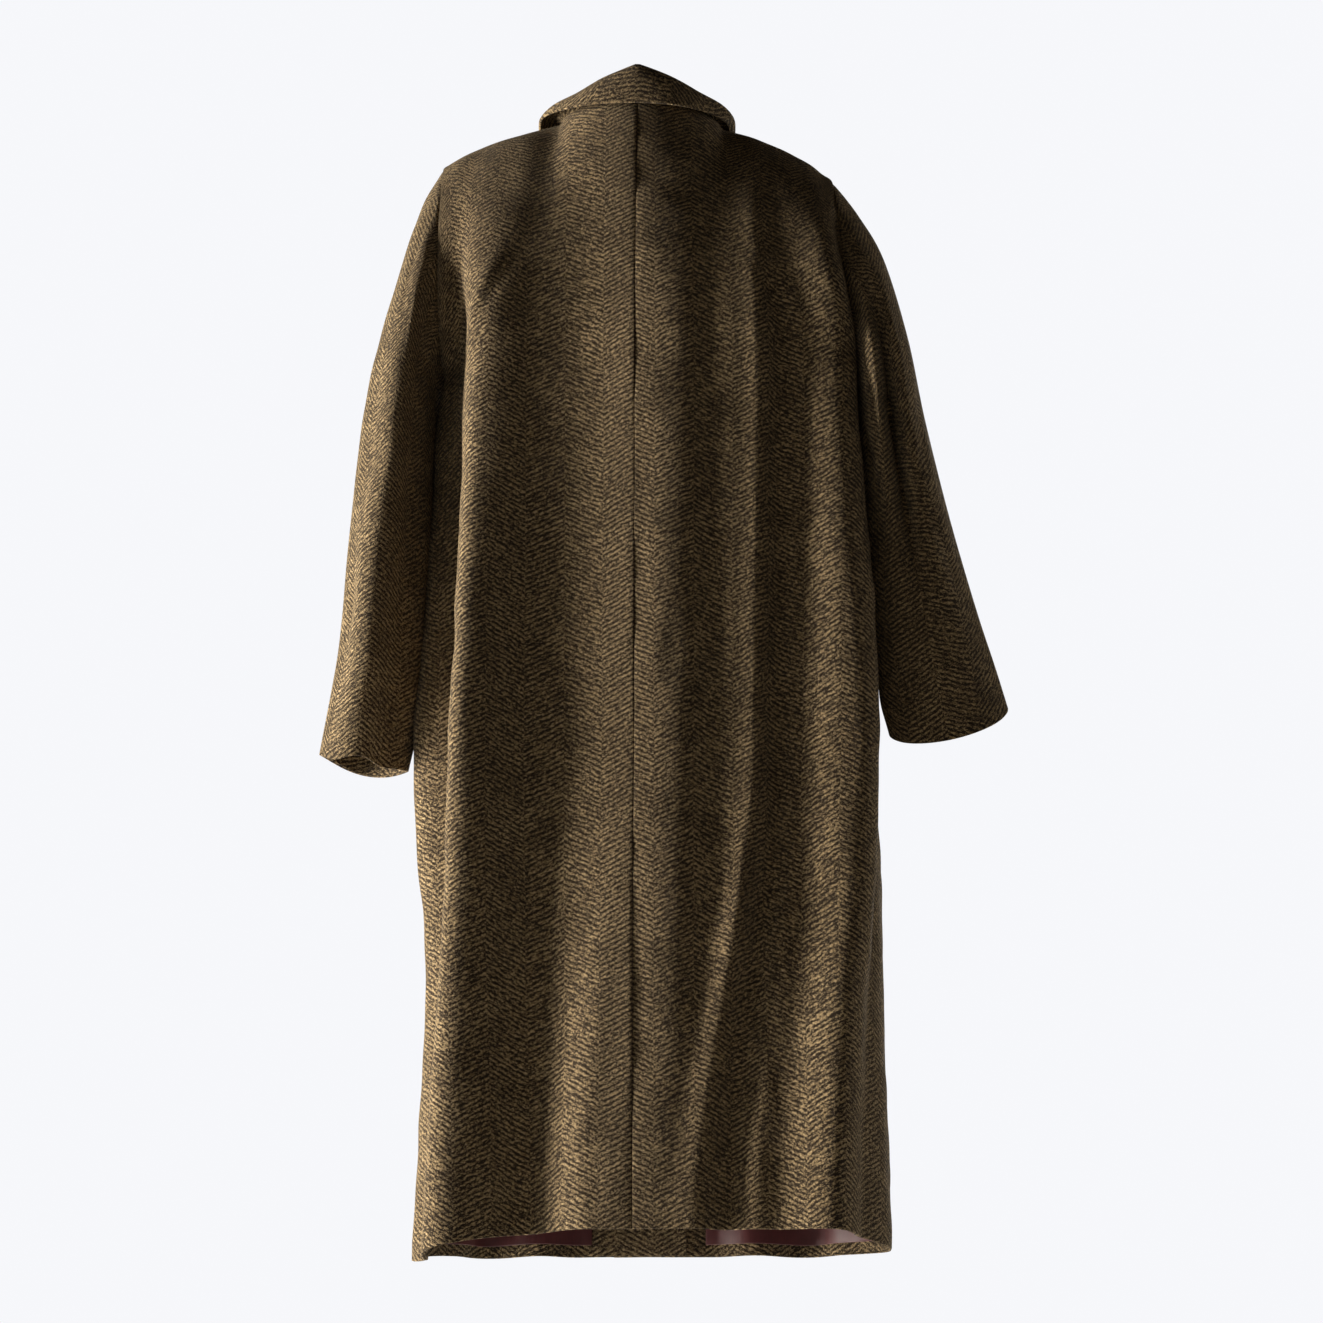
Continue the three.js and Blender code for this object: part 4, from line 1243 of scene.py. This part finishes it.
@dataclass(frozen=True)
class Herringbone:
    """The brushed herringbone as a node group.

    sway bends the columns and the ribs, fray and hair are noises by waves along and
    across the rib per metre, and their shares say how much they break the ribs up.
    """

    column: float = 0.04
    pitch: float = 0.0054
    slope: float = 0.5
    wander: float = 0.85
    sway_scale: float = 55
    sway_reach: float = 0.004
    sway_turns: float = 1.3
    fray: tuple[float, float, float] = (170, 460, 7.3)
    fray_share: float = 3.9
    hair: tuple[float, float, float] = (520, 1050, 3.1)
    hair_share: float = 4.6
    stroke: tuple[float, float] = (0.1, 1.2)
    grain_scale: float = 420
    grain_share: float = 0.75
    slow_scale: float = 26
    slow_share: float = 0.25
    mottle: tuple[float, float] = (0.36, 0.64)
    stroke_height: float = 0.6
    hair_height: float = 0.9

    def build(self) -> bpy.types.NodeTree:
        """Makes the group, over a vector of places along the cloth, in metres.

        Across the cloth, a triangle wave as wide as a column turns the diagonals round
        at each column's edge, and every other column is half a rib lower. A rib is one
        wave of v less the slope times that triangle. Noise stretched along the rib
        breaks it into brushed strokes, and slower noise makes some strokes paler.
        """
        nodes, given, result = new_group(
            "herringbone",
            {
                "Vector": ("NodeSocketVector", None),
                "Column": ("NodeSocketFloat", self.column),
                "Pitch": ("NodeSocketFloat", self.pitch),
                "Slope": ("NodeSocketFloat", self.slope),
            },
            {
                "Stroke": "NodeSocketFloat",
                "Mottle": "NodeSocketFloat",
                "Height": "NodeSocketFloat",
            },
        )
        make = nodes.math
        vector, column = given.outputs["Vector"], given.outputs["Column"]
        slope, pitch = given.outputs["Slope"], given.outputs["Pitch"]
        place = nodes.add("ShaderNodeSeparateXYZ")
        nodes.put(place.inputs[0], vector)
        u, v = place.outputs[0], place.outputs[1]
        sway = make("SUBTRACT", nodes.noise(vector, self.sway_scale), 0.5)
        sway = make("MULTIPLY", sway, self.wander)
        swayed = make("MULTIPLY_ADD", sway, self.sway_reach, u)
        fold = make("PINGPONG", swayed, column)
        index = make("FLOOR", make("DIVIDE", swayed, column))
        odd = make("FLOORED_MODULO", index, 2.0)
        drop = make("SUBTRACT", v, make("MULTIPLY", slope, fold))
        turns = make("ADD", make("DIVIDE", drop, pitch), make("MULTIPLY", odd, 0.5))
        turns = make("ADD", turns, make("MULTIPLY", sway, self.sway_turns))
        wave = make("COSINE", make("MULTIPLY", turns, math.tau))
        rib = make("MULTIPLY_ADD", wave, 0.5, 0.5)
        along = make("ADD", fold, make("MULTIPLY", slope, v))

        def threads(waves: Colour, detail: float) -> bpy.types.NodeSocket:
            """Noise over waves along the rib, across it and from column to column."""
            parts = [make("MULTIPLY", *pair) for pair in zip((along, drop, index), waves)]
            return nodes.noise(nodes.vector(*parts), 1.0, detail)

        fray, hair = threads(self.fray, 3.0), threads(self.hair, 2.0)
        body = rib
        for noise, share in ((fray, self.fray_share), (hair, self.hair_share)):
            broken = make("MULTIPLY", make("SUBTRACT", noise, 0.5), share)
            body = make("ADD", body, broken)
        stroke = nodes.spread(body, *self.stroke)
        grain = make("MULTIPLY", nodes.noise(vector, self.grain_scale), self.grain_share)
        slow = make("MULTIPLY", nodes.noise(vector, self.slow_scale), self.slow_share)
        mottle = nodes.spread(make("ADD", grain, slow), *self.mottle)
        high = make("MULTIPLY", stroke, self.stroke_height)
        high = make("ADD", high, make("MULTIPLY", hair, self.hair_height))
        for name, socket in (("Stroke", stroke), ("Mottle", mottle), ("Height", high)):
            nodes.put(result.inputs[name], socket)
        return nodes.tree


@dataclass(frozen=True)
class WoolFinish:
    """Brushed herringbone wool: pale strokes over a near-black ground."""

    name: str
    pale: Colour = (0.42, 0.3, 0.155)
    deep: Colour = (0.125, 0.082, 0.036)
    ground: Colour = (0.014, 0.0075, 0.003)
    rough: tuple[float, float] = (0.98, 0.82)
    relief: float = 0.0011
    relief_share: float = 0.9
    specular: float = 0.18
    sheen: float = 0.12
    sheen_rough: float = 0.6
    sheen_tint: Colour = (0.8, 0.68, 0.52)

    def build(self, group: bpy.types.NodeTree) -> bpy.types.Material:
        """Makes the material over the herringbone group."""
        material, nodes, shader = plain_material(self.name)
        weave = nodes.add("ShaderNodeGroup", node_tree=group)
        place = nodes.add("ShaderNodeUVMap", uv_map="cloth").outputs[0]
        nodes.put(weave.inputs["Vector"], place)
        stroke = weave.outputs["Stroke"]
        yarn = nodes.blend(weave.outputs["Mottle"], self.deep, self.pale)
        nodes.put(shader.inputs["Base Color"], nodes.blend(stroke, self.ground, yarn))
        nodes.put(shader.inputs["Roughness"], nodes.spread(stroke, 0, 1, *self.rough))
        nodes.raised(shader, weave.outputs["Height"], self.relief, self.relief_share)
        shader.inputs["Specular IOR Level"].default_value = self.specular
        shader.inputs["Sheen Weight"].default_value = self.sheen
        shader.inputs["Sheen Roughness"].default_value = self.sheen_rough
        shader.inputs["Sheen Tint"].default_value = (*self.sheen_tint, 1)
        return material


@dataclass(frozen=True)
class SatinFinish:
    """Dark red satin lining: a fine warp, with faint streaks along it."""

    name: str
    colour: Colour = (0.085, 0.016, 0.017)
    shade: Colour = (0.045, 0.008, 0.009)
    warp: Colour = (1800, 90, 1)
    slow_scale: float = 24
    shares: tuple[float, float] = (0.6, 0.5)
    tones: tuple[float, float] = (0.35, 0.75)
    rough: tuple[float, float] = (0.34, 0.5)
    relief: float = 0.0002
    relief_share: float = 0.35
    sheen: float = 0.25
    sheen_tint: Colour = (0.9, 0.45, 0.42)

    def build(self) -> bpy.types.Material:
        """Makes the material."""
        material, nodes, shader = plain_material(self.name)
        place = nodes.add("ShaderNodeUVMap", uv_map="cloth").outputs[0]
        warp = nodes.noise(nodes.stretched(place, self.warp), 1.0)
        slow = nodes.noise(place, self.slow_scale)
        warp_part, slow_part = (
            nodes.math("MULTIPLY", noise, share)
            for noise, share in zip((warp, slow), self.shares)
        )
        tone = nodes.spread(nodes.math("ADD", warp_part, slow_part), *self.tones)
        nodes.put(shader.inputs["Base Color"], nodes.blend(tone, self.shade, self.colour))
        rough = nodes.spread(warp, *NOISE_SPAN, *self.rough)
        nodes.put(shader.inputs["Roughness"], rough)
        nodes.raised(shader, warp, self.relief, self.relief_share)
        shader.inputs["Sheen Weight"].default_value = self.sheen
        shader.inputs["Sheen Tint"].default_value = (*self.sheen_tint, 1)
        return material


@dataclass(frozen=True)
class HornFinish:
    """Dark horn: cloudy brown streaks under a soft gloss."""

    name: str
    dark: Colour = (0.010, 0.006, 0.004)
    light: Colour = (0.075, 0.036, 0.018)
    streak: Colour = (1, 1, 3.4)
    turn: Colour = (0.3, 0.5, 0.2)
    cloud_scale: float = 95
    tones: tuple[float, float] = (0.42, 0.7)
    rough: tuple[float, float] = (0.28, 0.42)
    gloss: float = 0.25
    gloss_rough: float = 0.2

    def build(self) -> bpy.types.Material:
        """Makes the material."""
        material, nodes, shader = plain_material(self.name)
        place = nodes.add("ShaderNodeTexCoord").outputs["Object"]
        streaks = nodes.stretched(place, self.streak, self.turn)
        cloud = nodes.noise(streaks, self.cloud_scale, detail=5.0)
        tone = nodes.spread(cloud, *self.tones)
        nodes.put(shader.inputs["Base Color"], nodes.blend(tone, self.dark, self.light))
        rough = nodes.spread(cloud, *NOISE_SPAN, *self.rough)
        nodes.put(shader.inputs["Roughness"], rough)
        shader.inputs["Coat Weight"].default_value = self.gloss
        shader.inputs["Coat Roughness"].default_value = self.gloss_rough
        return material


@dataclass(frozen=True)
class ThreadFinish:
    """Twisted sewing thread: plies that run round it."""

    name: str
    colour: Colour = (0.045, 0.028, 0.016)
    highlight: Colour = (0.12, 0.08, 0.05)
    plies: float = 420
    waver: float = 1.2
    rough: float = 0.75
    relief: float = 0.0002

    def build(self) -> bpy.types.Material:
        """Makes the material."""
        material, nodes, shader = plain_material(self.name)
        place = nodes.add("ShaderNodeTexCoord").outputs["Object"]
        wave = nodes.add("ShaderNodeTexWave", bands_direction="DIAGONAL")
        nodes.put(wave.inputs["Vector"], place)
        wave.inputs["Scale"].default_value = self.plies
        wave.inputs["Distortion"].default_value = self.waver
        ply = wave.outputs["Fac"]
        nodes.put(shader.inputs["Base Color"], nodes.blend(ply, self.colour, self.highlight))
        shader.inputs["Roughness"].default_value = self.rough
        nodes.raised(shader, ply, self.relief)
        return material


@dataclass(frozen=True)
class FloorFinish:
    """A plain pale studio floor with a faint grain, lifted a little where it is seen."""

    name: str
    colour: Colour = (0.84, 0.85, 0.86)
    grain_scale: float = 9
    grain_shade: float = 0.97
    rough: float = 0.8
    lift: float = 0.62

    def build(self) -> bpy.types.Material:
        """Makes the material."""
        material, nodes, shader = plain_material(self.name)
        place = nodes.add("ShaderNodeTexCoord").outputs["Object"]
        grain = nodes.spread(nodes.noise(place, self.grain_scale, detail=3.0), *NOISE_SPAN)
        darker = tuple(self.grain_shade * part for part in self.colour)
        nodes.put(shader.inputs["Base Color"], nodes.blend(grain, darker, self.colour))
        shader.inputs["Roughness"].default_value = self.rough
        seen = nodes.add("ShaderNodeLightPath").outputs["Is Camera Ray"]
        shader.inputs["Emission Color"].default_value = (*self.colour, 1)
        lift = nodes.math("MULTIPLY", seen, self.lift)
        nodes.put(shader.inputs["Emission Strength"], lift)
        return material


def plain_material(name: str) -> tuple[bpy.types.Material, Nodes, bpy.types.Node]:
    """An empty node material, its nodes, and its Principled shader joined to the output."""
    material = bpy.data.materials.new(name)
    material.use_nodes = True
    nodes = Nodes(material.node_tree)
    shader = material.node_tree.nodes["Principled BSDF"]
    return material, nodes, shader


@dataclass
class Finishes:
    """All the coat's materials."""

    wool: bpy.types.Material = field(init=False)
    lining: bpy.types.Material = field(init=False)
    horn: bpy.types.Material = field(init=False)
    thread: bpy.types.Material = field(init=False)

    def __post_init__(self) -> None:
        """Builds each material once."""
        group = Herringbone().build()
        self.wool = WoolFinish("brushed_herringbone").build(group)
        self.lining = SatinFinish("lining_satin").build()
        self.horn = HornFinish("button_horn").build()
        self.thread = ThreadFinish("sewing_thread").build()


# Pieces


@dataclass(frozen=True)
class Workshop:
    """Finishes every piece of the coat and hangs it on the frame."""

    finishes: Finishes

    def piece(
        self, obj: bpy.types.Object, material: bpy.types.Material, slot: str, *nodes: str
    ) -> bpy.types.Object:
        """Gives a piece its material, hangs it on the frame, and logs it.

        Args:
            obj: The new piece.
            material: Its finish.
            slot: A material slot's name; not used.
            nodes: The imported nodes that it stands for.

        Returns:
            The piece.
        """
        obj.data.materials.append(material)
        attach(obj, "root")
        if nodes:
            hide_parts(*nodes)
        log.info("%s: %d faces", obj.name, len(obj.data.polygons))
        return obj

    def cloth(
        self,
        name: str,
        grid: Grid,
        thickness: float,
        slot: str,
        rests_on: tuple[str, ...],
        *nodes: str,
        offset: float = 0.0,
    ) -> bpy.types.Object:
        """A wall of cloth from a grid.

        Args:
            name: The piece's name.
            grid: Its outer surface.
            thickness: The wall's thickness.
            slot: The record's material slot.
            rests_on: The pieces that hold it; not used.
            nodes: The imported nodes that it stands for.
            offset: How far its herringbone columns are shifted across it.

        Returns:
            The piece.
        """
        placed = Grid(grid.points, grid.normals, grid.u + offset, grid.v, grid.wrap)
        obj = cloth_wall(name, placed, thickness)
        material = self.finishes.lining if slot == "lining" else self.finishes.wool
        self.piece(obj, material, slot, *nodes)
        return obj

    def turn_up(
        self, name: str, grid: Grid, above: float, thickness: float, held_by: str, offset: float
    ) -> None:
        """A turned-up hem or cuff inside a wall's lower edge.

        Args:
            name: The piece's name.
            grid: The rows of the wall's outer surface that it lies behind.
            above: The wall's thickness.
            thickness: Its own thickness.
            held_by: The wall's name.
            offset: How far its herringbone columns are shifted across it.
        """
        inside = grid.moved(-above - LAYER_GAP)
        inside.points[-1, :, 2] += TURN_UP_LIFT
        self.cloth(name, inside, thickness, "wool", (held_by,), offset=offset)


@dataclass(frozen=True)
class Shell:
    """The coat's outside: two backs and two fronts, with their turned-up hems."""

    form: BodyForm
    thick: float = 2.5
    groove: float = 0.6
    groove_reach: float = 1.8
    seam_draw: float = 0.22
    hem_deep: float = 36
    hem_thick: float = 1.8
    hem_shift: float = 13
    column_offsets: tuple[float, float] = (7, 19)

    def build(self, shop: Workshop) -> None:
        """Makes the four panels and their hems."""
        for face in Face:
            for side in Side:
                self.panel(shop, face, side)

    def panel(self, shop: Workshop, face: Face, side: Side) -> None:
        """Makes one panel and the turned-up hem inside it."""
        panel = Panel(self.form, side, face)
        grid = panel.grid(seed=panel.seed)
        seams = ("first", "last", "top")
        if face is Face.FRONT:
            seams = ("last", "top") if side is Side.LEFT else ("first", "top")
        sunk = roll_seams(grid, seams, self.groove, self.groove_reach)
        grid = pull_edges(sunk, seams, self.seam_draw)
        offset = self.column_offsets[0 if side is Side.LEFT else 1]
        word = face.name.lower()
        other = "front" if face is Face.BACK else "back"
        name, node = f"shell_{word}_{side.word}", f"{word}_{side.word}"
        rests_on = (f"shell_{other}_{side.word}",)
        shop.cloth(name, grid, self.thick, "wool", rests_on, node, offset=offset)
        low = grid.v > grid.v[-1:] - self.hem_deep
        low_rows = grid.rows(int(np.argmax(low.all(axis=1))))
        shift = offset + self.hem_shift
        shop.turn_up(f"hem_{node}", low_rows, self.thick, self.hem_thick, name, shift)


@dataclass(frozen=True)
class Inside:
    """Facings behind the front edges, and the lining over the rest."""

    form: BodyForm
    shell: float = 2.5
    gap: float = 0.7
    slack: float = 3.0
    slack_span: tuple[float, float] = (60, 500)
    facing: float = 1.5
    lining: float = 1.0
    lining_above: float = 12
    facing_above: float = 3
    facing_offset: float = 8
    split: float = 100
    tuck: float = 12
    coarse: float = 1.8
    seeds: tuple[int, int] = (31, 41)
    ripple: float = 34
    ripple_stretch: float = 0.16
    ripple_span: tuple[float, float] = (300, 1100)

    def build(self, shop: Workshop) -> None:
        """Makes both facings, both front linings and the back lining."""
        for side in Side:
            panel = Panel(self.form, side, Face.FRONT)
            shell, word = (f"shell_front_{side.word}",), side.word
            base = panel.grid(self.facing_above, self.coarse, seed=panel.seed)
            near = base.columns(base.u[-1] <= self.split).moved(-self.shell - self.gap)
            name, node, offset = f"inner_facing_{word}", f"facing_{word}", self.facing_offset
            shop.cloth(name, near, self.facing, "wool", shell, node, offset=offset)
            base = panel.grid(self.lining_above, self.coarse)
            far = base.columns(base.u[-1] >= self.split - self.tuck)
            far = self.draped(far, self.seeds[0] + side.value)
            name, node = f"inner_lining_front_{word}", f"lining_front_{word}"
            shop.cloth(name, far, self.lining, "lining", shell, node)
        left, right = (
            Panel(self.form, side, Face.BACK).grid(self.lining_above, self.coarse)
            for side in Side
        )
        grid = Grid(
            np.concatenate([left.points, right.points[:, 1:]], 1),
            np.concatenate([left.normals, right.normals[:, 1:]], 1),
            np.concatenate([-left.u, right.u[:, 1:]], 1),
            np.concatenate([left.v, right.v[:, 1:]], 1),
        )
        grid = self.draped(grid, self.seeds[1])
        shells = ("shell_back_left", "shell_back_right")
        shop.cloth("inner_lining_back", grid, self.lining, "lining", shells, "lining_back")

    def draped(self, grid: Grid, seed: int) -> Grid:
        """The lining's place inside the outer face, with its own soft upright ripples.

        It lies further in below the shoulders, and its ripples deepen towards the hem.

        Args:
            grid: The coat's outer face there.
            seed: The seed of the ripples.

        Returns:
            The lining's outer face.
        """
        down = run_lengths(grid.points, 0)
        depth = self.shell + self.gap + self.slack * ease(*self.slack_span, down)
        ripple = uneven(grid.u, grid.v * self.ripple_stretch, seed, self.ripple, 1.0) - 1.0
        return grid.moved(-depth + ripple * ease(*self.ripple_span, down)).resettled()


@dataclass(frozen=True)
class Sleeves:
    """Both sleeves, set into the armholes, with their turned-up cuffs."""

    thick: float = 2.5
    groove: float = 1.2
    groove_reach: float = 3
    cuff_start: float = 0.945
    cuff_thick: float = 1.8
    cuff_shift: float = 13
    column_offset: float = 400
    seeds: tuple[int, int] = (51, 61)

    def build(self, shop: Workshop) -> None:
        """Makes both sleeves and cuffs."""
        for sleeve, seed in zip((LEFT_SLEEVE, RIGHT_SLEEVE), self.seeds):
            word = sleeve.side.word
            name, offset = f"sleeve_cloth_{word}", self.column_offset
            rests_on = (f"shell_back_{word}",)
            grid = sleeve.grid(seed=seed)
            grid = roll_seams(grid, ("top",), self.groove, self.groove_reach)
            node = f"sleeve_{word}"
            shop.cloth(name, grid, self.thick, "wool", rests_on, node, offset=offset)
            low_rows = grid.rows(int(len(grid.points) * self.cuff_start))
            shift = offset + self.cuff_shift
            shop.turn_up(f"cuff_{word}", low_rows, self.thick, self.cuff_thick, name, shift)


@dataclass(frozen=True)
class Buttons:
    """Four horn buttons down the centre front, each with four holes and its thread."""

    form: BodyForm
    levels: tuple[float, ...] = (0.3, 0.86, 1.2, 1.42)
    level_step: float = 0.004
    angle_step: float = 0.4
    radius: float = 14
    centre: float = 0.25
    rings: int = 30
    spokes: int = 96
    thick: float = 4
    rim: float = 1.6
    rim_shares: float = 2.6
    bevel: float = 0.9
    bevel_ring: float = 0.5
    dish: float = 1.1
    dish_soft: float = 1.2
    hole: float = 1.15
    hole_span: tuple[float, float] = (1.25, 0.7)
    hole_deep: float = 1.9
    hole_out: float = 2.9
    lift: float = 0.6
    bar_radius: float = 0.55
    bar_dip: float = 1.7
    bar_bend: int = 6
    bar_points: int = 13
    bar_sides: int = 10
    stitch_radius: float = 0.7
    stitch_points: int = 49
    stitch_sides: int = 8
    buttonhole_half: tuple[float, float] = (15.5, 1.35)
    buttonhole_shift: float = -7
    buttonhole_above: float = 0.35

    def build(self, shop: Workshop) -> None:
        """Makes each button, its thread and its worked buttonhole."""
        horn, thread = shop.finishes.horn, shop.finishes.thread
        for i, level in enumerate(self.levels, 1):
            place, turn = self.seat(level)
            button = self.disc(f"horn_button_{i}", place, turn)
            shop.piece(button, horn, "button", f"button_{i}")
            shop.piece(self.thread(f"button_thread_{i}", place, turn), thread, "button")
            shop.piece(self.buttonhole(f"buttonhole_{i}", place, turn), thread, "wool")

    def seat(self, level: float) -> tuple[Array, Array]:
        """The middle of a button's underside, and the axes across, up and out there."""
        near = np.array([-1, 0, 1])
        angle = CENTRE_FRONT + near * self.angle_step
        points = self.form.points(Face.FRONT, angle, level + near * self.level_step)
        out = grid_normals(points, False)[1, 1]
        across = unit(np.cross([0.0, 0.0, 1.0], out))
        return points[1, 1] + out * self.lift, np.stack([across, np.cross(out, across), out])

    def disc(self, name: str, place: Array, turn: Array) -> bpy.types.Object:
        """A turned disc: a rounded rim round a shallow dish, with four sunk holes.

        Args:
            name: The piece's name.
            place: The middle of its underside.
            turn: Its axes across, up and out, one in each row.

        Returns:
            The disc.
        """
        flat = self.radius - self.rim
        face = np.linspace(self.centre, flat, self.rings)
        radii = np.concatenate([face, [self.radius - self.bevel_ring, self.radius]])
        angle = np.linspace(0, math.tau, self.spokes + 1)[:-1]
        r, a = np.meshgrid(radii, angle, indexing="ij")
        x, y = r * np.cos(a), r * np.sin(a)
        inner = self.radius - self.rim_shares * self.rim
        dish = 1 - ease(inner - self.dish_soft, inner + self.dish_soft, r)
        base = self.bevel * ease(flat, self.radius, r)
        top = self.thick - self.dish * dish - base
        out = self.hole_out / DIAGONAL
        wide, narrow = (self.hole * share for share in self.hole_span)
        for sx, sy in ((1, 1), (1, -1), (-1, 1), (-1, -1)):
            far = np.hypot(x - sx * out, y - sy * out)
            top -= self.hole_deep * (1 - ease(narrow, wide, far))
        rings = np.concatenate([np.stack([x, y, top], -1), np.stack([x, y, base], -1)[::-1]])
        rows, columns = rings.shape[:2]
        row, column = (
            m.ravel()
            for m in np.meshgrid(np.arange(rows - 1), np.arange(columns), indexing="ij")
        )
        next_row, next_column = row + 1, (column + 1) % columns
        faces = np.stack(
            [
                row * columns + column,
                next_row * columns + column,
                next_row * columns + next_column,
                row * columns + next_column,
            ],
            1,
        )
        return add_object(name, rings.reshape(-1, 3) @ turn + place, faces)

    def thread(self, name: str, place: Array, turn: Array) -> bpy.types.Object:
        """Two short bars of thread between the holes, which dip into them."""
        out = self.hole_out / DIAGONAL
        t = np.linspace(-1, 1, self.bar_points)
        top = self.thick - self.dish + self.bar_radius
        z = top - self.bar_dip * np.abs(t) ** self.bar_bend
        paths = (np.stack([t * out, np.full_like(t, y), z], -1) for y in (-out, out))
        bars = [tube(path, self.bar_radius, self.bar_sides) for path in paths]
        return join_tubes(name, bars, place, turn)

    def buttonhole(self, name: str, place: Array, turn: Array) -> bpy.types.Object:
        """A worked buttonhole: a narrow oval of close stitches beside the button."""
        t = np.linspace(0, math.tau, self.stitch_points)
        x = self.buttonhole_shift + self.buttonhole_half[0] * np.cos(t)
        y = self.buttonhole_half[1] * np.sin(t)
        z = np.full_like(t, self.buttonhole_above - self.lift)
        oval = tube(np.stack([x, y, z], -1), self.stitch_radius, self.stitch_sides)
        return join_tubes(name, [oval], place, turn)


def tube(path: Array, radius: float, sides: int) -> tuple[Array, Array]:
    """A round tube along a path.

    Args:
        path: Points of the path.
        radius: The tube's radius.
        sides: How many sides each ring has.

    Returns:
        The tube's points and its faces.
    """
    along = unit(np.gradient(path, axis=0))
    side = unit(np.cross(along, [0.0, 0.0, 1.0]))
    up = np.cross(side, along)
    a = np.linspace(0, math.tau, sides + 1)[:-1]
    ring = side[:, None] * np.cos(a)[None, :, None] + up[:, None] * np.sin(a)[None, :, None]
    points = (path[:, None] + ring * radius).reshape(-1, 3)
    rings = np.arange(len(path) - 1)
    r, c = (m.ravel() for m in np.meshgrid(rings, np.arange(sides), indexing="ij"))
    n = (c + 1) % sides
    faces = np.stack([r * sides + c, r * sides + n, (r + 1) * sides + n, (r + 1) * sides + c], 1)
    return points, faces


def join_tubes(
    name: str, tubes: list[tuple[Array, Array]], place: Array, turn: Array
) -> bpy.types.Object:
    """Several tubes as one object, turned to axes and moved to a place."""
    points, faces, base = [], [], 0
    for tube_points, tube_faces in tubes:
        points.append(tube_points)
        faces.append(tube_faces + base)
        base += len(tube_points)
    return add_object(name, np.concatenate(points) @ turn + place, np.concatenate(faces))


# The studio


@dataclass(frozen=True)
class Lamp:
    """A soft rectangular lamp, aimed at a point of the coat."""

    name: str
    place: tuple[float, float, float]
    aim: tuple[float, float, float]
    size: tuple[float, float]
    power: float
    colour: tuple[float, float, float] = (1.0, 0.95, 0.87)


LAMPS = (
    Lamp("key_left", (-4.2, -0.62, -0.8), (0.0, -0.08, -0.7), (1.1, 2.2), 560),
    Lamp("fill_front", (0.9, -4.8, -0.8), (0.05, 0.0, -0.65), (2.4, 2.4), 4.5, (1.0, 0.78, 0.5)),
    Lamp("fill_fronts", (0.6, 4.4, 0.4), (0.0, 0.0, -0.6), (3.0, 3.0), 120),
    Lamp("fill_right", (4.6, 1.9, 0.2), (0.2, 0.0, -0.6), (2.0, 2.4), 60),
)


@dataclass(frozen=True)
class Studio:
    """The camera, the lamps, the pale surroundings and the floor."""

    eye: tuple[float, float, float] = (0.24114, -3.94263, -1.590)
    pan: float = 3.197
    tilt: float = 14.11
    focal: float = 3943.0
    image: float = 1323.0
    sensor: float = 36.0
    floor_z: float = -2.1
    floor_half: float = 9.0
    seen: tuple[float, float, float] = (0.925, 0.932, 0.96)
    ambient: float = 0.02
    ambient_colour: tuple[float, float, float] = (1.0, 0.78, 0.5)

    def build(self) -> None:
        """Makes the studio."""
        data = bpy.data.cameras.new("camera")
        data.sensor_width = self.sensor
        data.lens = self.focal / self.image * self.sensor
        camera = bpy.data.objects.new("camera", data)
        camera.location = self.eye
        camera.rotation_euler = Euler(
            (math.radians(90 + self.tilt), 0, math.radians(self.pan)), "XYZ"
        )
        bpy.context.scene.collection.objects.link(camera)
        bpy.context.scene.camera = camera
        for lamp in LAMPS:
            light = bpy.data.lights.new(lamp.name, "AREA")
            light.shape = "RECTANGLE"
            light.size, light.size_y = lamp.size
            light.energy = lamp.power
            light.color = lamp.colour
            obj = bpy.data.objects.new(lamp.name, light)
            obj.location = lamp.place
            aim = Vector(lamp.aim) - Vector(lamp.place)
            obj.rotation_euler = aim.to_track_quat("-Z", "Y").to_euler()
            bpy.context.scene.collection.objects.link(obj)
        self.surroundings()
        half = self.floor_half / MM
        corners = np.array([[-1, -1], [1, -1], [1, 1], [-1, 1]]) * half
        points = np.column_stack([corners, np.full(4, self.floor_z / MM)])
        floor = add_object("floor", points, np.array([[0, 1, 2, 3]]))
        floor.data.materials.append(FloorFinish("floor_pale").build())

    def surroundings(self) -> None:
        """Pale surroundings that the camera sees, and a dimmer glow that lights the coat."""
        world = bpy.data.worlds.new("surroundings")
        world.use_nodes = True
        bpy.context.scene.world = world
        nodes = Nodes(world.node_tree)
        back = world.node_tree.nodes["Background"]
        output = world.node_tree.nodes["World Output"]
        nodes.put(back.inputs["Color"], (*self.seen, 1))
        glow = nodes.add("ShaderNodeBackground")
        nodes.put(glow.inputs["Color"], (*self.ambient_colour, 1))
        nodes.put(glow.inputs["Strength"], self.ambient)
        path = nodes.add("ShaderNodeLightPath")
        choose = nodes.add("ShaderNodeMixShader")
        nodes.put(choose.inputs[0], path.outputs["Is Camera Ray"])
        nodes.put(choose.inputs[1], glow.outputs[0])
        nodes.put(choose.inputs[2], back.outputs[0])
        nodes.put(output.inputs["Surface"], choose.outputs[0])


def write_sizes() -> None:
    bpy.context.view_layer.update()


def main() -> None:
    """Builds the studio and dresses the coat."""
    logging.basicConfig(level=logging.INFO, format="%(name)s %(message)s")
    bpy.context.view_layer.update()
    bpy.context.scene.view_settings.view_transform = "Standard"
    Studio().build()
    form = BodyForm()
    shop = Workshop(Finishes())
    Shell(form).build(shop)
    Inside(form).build(shop)
    Sleeves().build(shop)
    collar = CollarForm(form)
    shop.cloth(
        "collar_cloth",
        collar.grid(),
        collar.thick,
        "wool",
        ("shell_back_left", "shell_back_right"),
        "collar",
        offset=collar.column_offset,
    )
    Buttons(form).build(shop)
    write_sizes()


if __name__ == "__main__":
    main()
